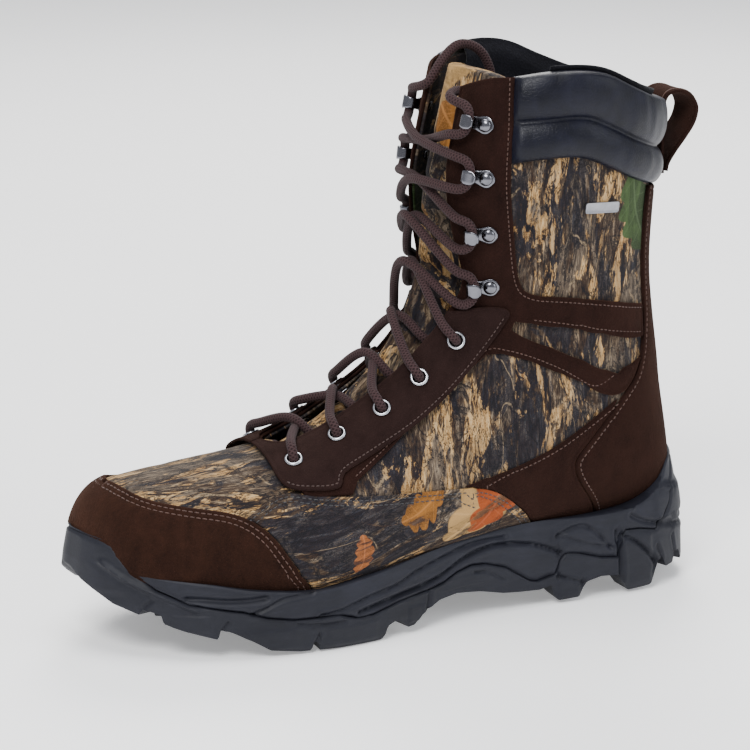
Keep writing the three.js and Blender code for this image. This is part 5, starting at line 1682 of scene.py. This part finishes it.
foot_z = below_ring(lambda x: spread(LUG_FEET, x), RING_IN, feet_z)
base_z = np.maximum(below_ring(tread_under, BASE_IN, under_z), foot_z + .2)
spine_z = tread_under(spine_x)


def ring(depth, z):
    """Closed ring inside the plan outline."""
    xy = plan_xy - plan_out * np.broadcast_to(depth, column_x.shape)[:, None]
    return np.stack([xy[:, 0], xy[:, 1], np.broadcast_to(z, column_x.shape)], 1)


def towards_spine(points, share, z):
    goal = np.stack([spine_x, np.full_like(spine_x, spine_y), np.broadcast_to(z, spine_x.shape)], 1)
    out = points + (goal - points) * share
    out[:, 2] = points[:, 2] + (goal[:, 2] - points[:, 2]) * share
    return out


def sole_body(name, wall_rows, other_rings, material, node):
    """A closed body from wall rows (functions of the column) and more rings that close it."""
    rings = wall_rows + other_rings
    table = np.stack(rings)

    def place(s, t):
        i = np.rint(s * COLUMNS).astype(int)
        j = np.rint(t * len(rings)).astype(int) % len(rings)
        return table[j, i]
    bm = weave(COLUMNS, len(rings), place)
    return finished(name, bm, "boot", material, [node], merge=.02, sharp=55)


every = np.linspace(0, 1, COLUMNS + 1)
OUT_ROWS, MID_ROWS = 30, 26
out_rows = [wall(every, feet_z + (split_z - feet_z) * t, -1.0 * smoothstep(t, .93, 1.0) + .5)
            for t in np.linspace(0, 1, OUT_ROWS)]
board_z = below_ring(lambda x: height_of(BOTTOM_LINE, x), RING_IN, height_of(BOTTOM_LINE, column_x))
board_spine = height_of(BOTTOM_LINE, spine_x)
foot_ring, base_ring = ring(RING_IN, foot_z + .6), ring(BASE_IN, base_z)
shelf_z = np.minimum(base_z + 6.0, np.minimum(split_z - 1, board_z - 2.4))
shelf_z = np.maximum(shelf_z, base_z + 1.0)
shelf_spine = np.maximum(np.minimum(spine_z + 6.0, height_of(BOTTOM_LINE, spine_x) - 2.4), spine_z + 1.0)
out_close = [ring(own_wall * .6 + 2.0, split_z - .2), ring(SHELF_IN, shelf_z),
             towards_spine(ring(SHELF_IN, shelf_z), .5, shelf_spine),
             towards_spine(ring(SHELF_IN, shelf_z), 1, shelf_spine),
             towards_spine(base_ring, 1, spine_z), towards_spine(base_ring, .5, spine_z), base_ring,
             foot_ring]
sole_body("outsole_tread", out_rows, out_close, outsole_rubber, "outsole")
mid_rows = [wall(every, split_z + .3 + (edge_z - split_z - .3) * t,
                 -.9 * (1 - smoothstep(t, 0, .09)) - .5 * smoothstep(t, .93, 1))
                 for t in np.linspace(0, 1, MID_ROWS)]
mid_close = [ring(own_wall + .6, edge_z + .1), ring(lip_in, edge_z - .3), ring(low_in, edge_z - 8),
             ring(np.maximum(low_in, RING_IN), board_z - 1.0),
             towards_spine(ring(RING_IN, board_z - 1), 1, board_spine - 1.8),
             towards_spine(ring(SHELF_IN, shelf_z + .4), 1, shelf_spine + .4), ring(SHELF_IN, shelf_z + .4),
             ring(own_wall * .6 + 2.3, split_z + .1)]
sole_body("midsole_wall", mid_rows, mid_close, midsole_rubber, "midsole")

# %% [markdown]
# Between the claws along its edges, the tread has pairs of slanting lugs under the ball of the foot
# and the heel. Each is a cube scaled to its size, narrowed towards the ground and bevelled, so that
# it grips and sheds mud. They are one piece, sunk a little into the sole's underside.

# %% Lugs under the tread
LUG_SIZE, LUG_FOOT_SHARE, LUG_BEVEL, LUG_ROOT = (9.0, 19.0), .82, .9, .8
lug_places = [(x, -4 + side * 9.5, side * 32) for side in (-1, 1) for x in range(-118, -20, 24)]
lug_places += [(x, side * 9.5, -side * 32) for side in (-1, 1) for x in (92, 120)]
lugs = bmesh.new()
for x, y, turn in lug_places:
    root, foot = float(height_of(UNDERSIDE, np.array([x]))[0]) + LUG_ROOT, float(spread(LUG_FEET, x)) + .9
    foot = max(foot, .6) if foot < root - 4 else root - 6
    one = bmesh.new()
    bmesh.ops.create_cube(one, size=1)
    for v in one.verts:
        v.co.xy *= LUG_FOOT_SHARE if v.co.z < 0 else 1
    bmesh.ops.scale(one, verts=one.verts, vec=(*LUG_SIZE, root - foot))
    bmesh.ops.bevel(one, geom=list(one.edges), offset=LUG_BEVEL, segments=2, profile=.5, affect="EDGES",
                    material=-1)
    stand = Matrix.Translation((x, y, (root + foot) / 2)) @ Matrix.Rotation(math.radians(turn), 4, "Z")
    bmesh.ops.transform(one, matrix=stand, verts=one.verts)
    gather(lugs, one)
finished("tread_lugs", lugs, "boot", outsole_rubber, sharp=40)
print("lugs under the tread:", len(lug_places))

# %% [markdown]
# Four stiff parts stay hidden between the layers: the toe puff, the counter stiffener and the
# insole board are pressed fibre, and the shank is a strip of spring steel. Their CAD shapes are
# right as they are, so each only gets its real finish on the slots that it already has.

# %% Finishes of the hidden stiff parts
HIDDEN = {"toe_puff": board, "counter_stiffener": board, "insole_board": board, "shank": spring_steel}
for node, finish in HIDDEN.items():
    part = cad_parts[node]
    for place in part.material_slots:
        place.material = finish
    print(node, "slots finished:", len(part.material_slots))
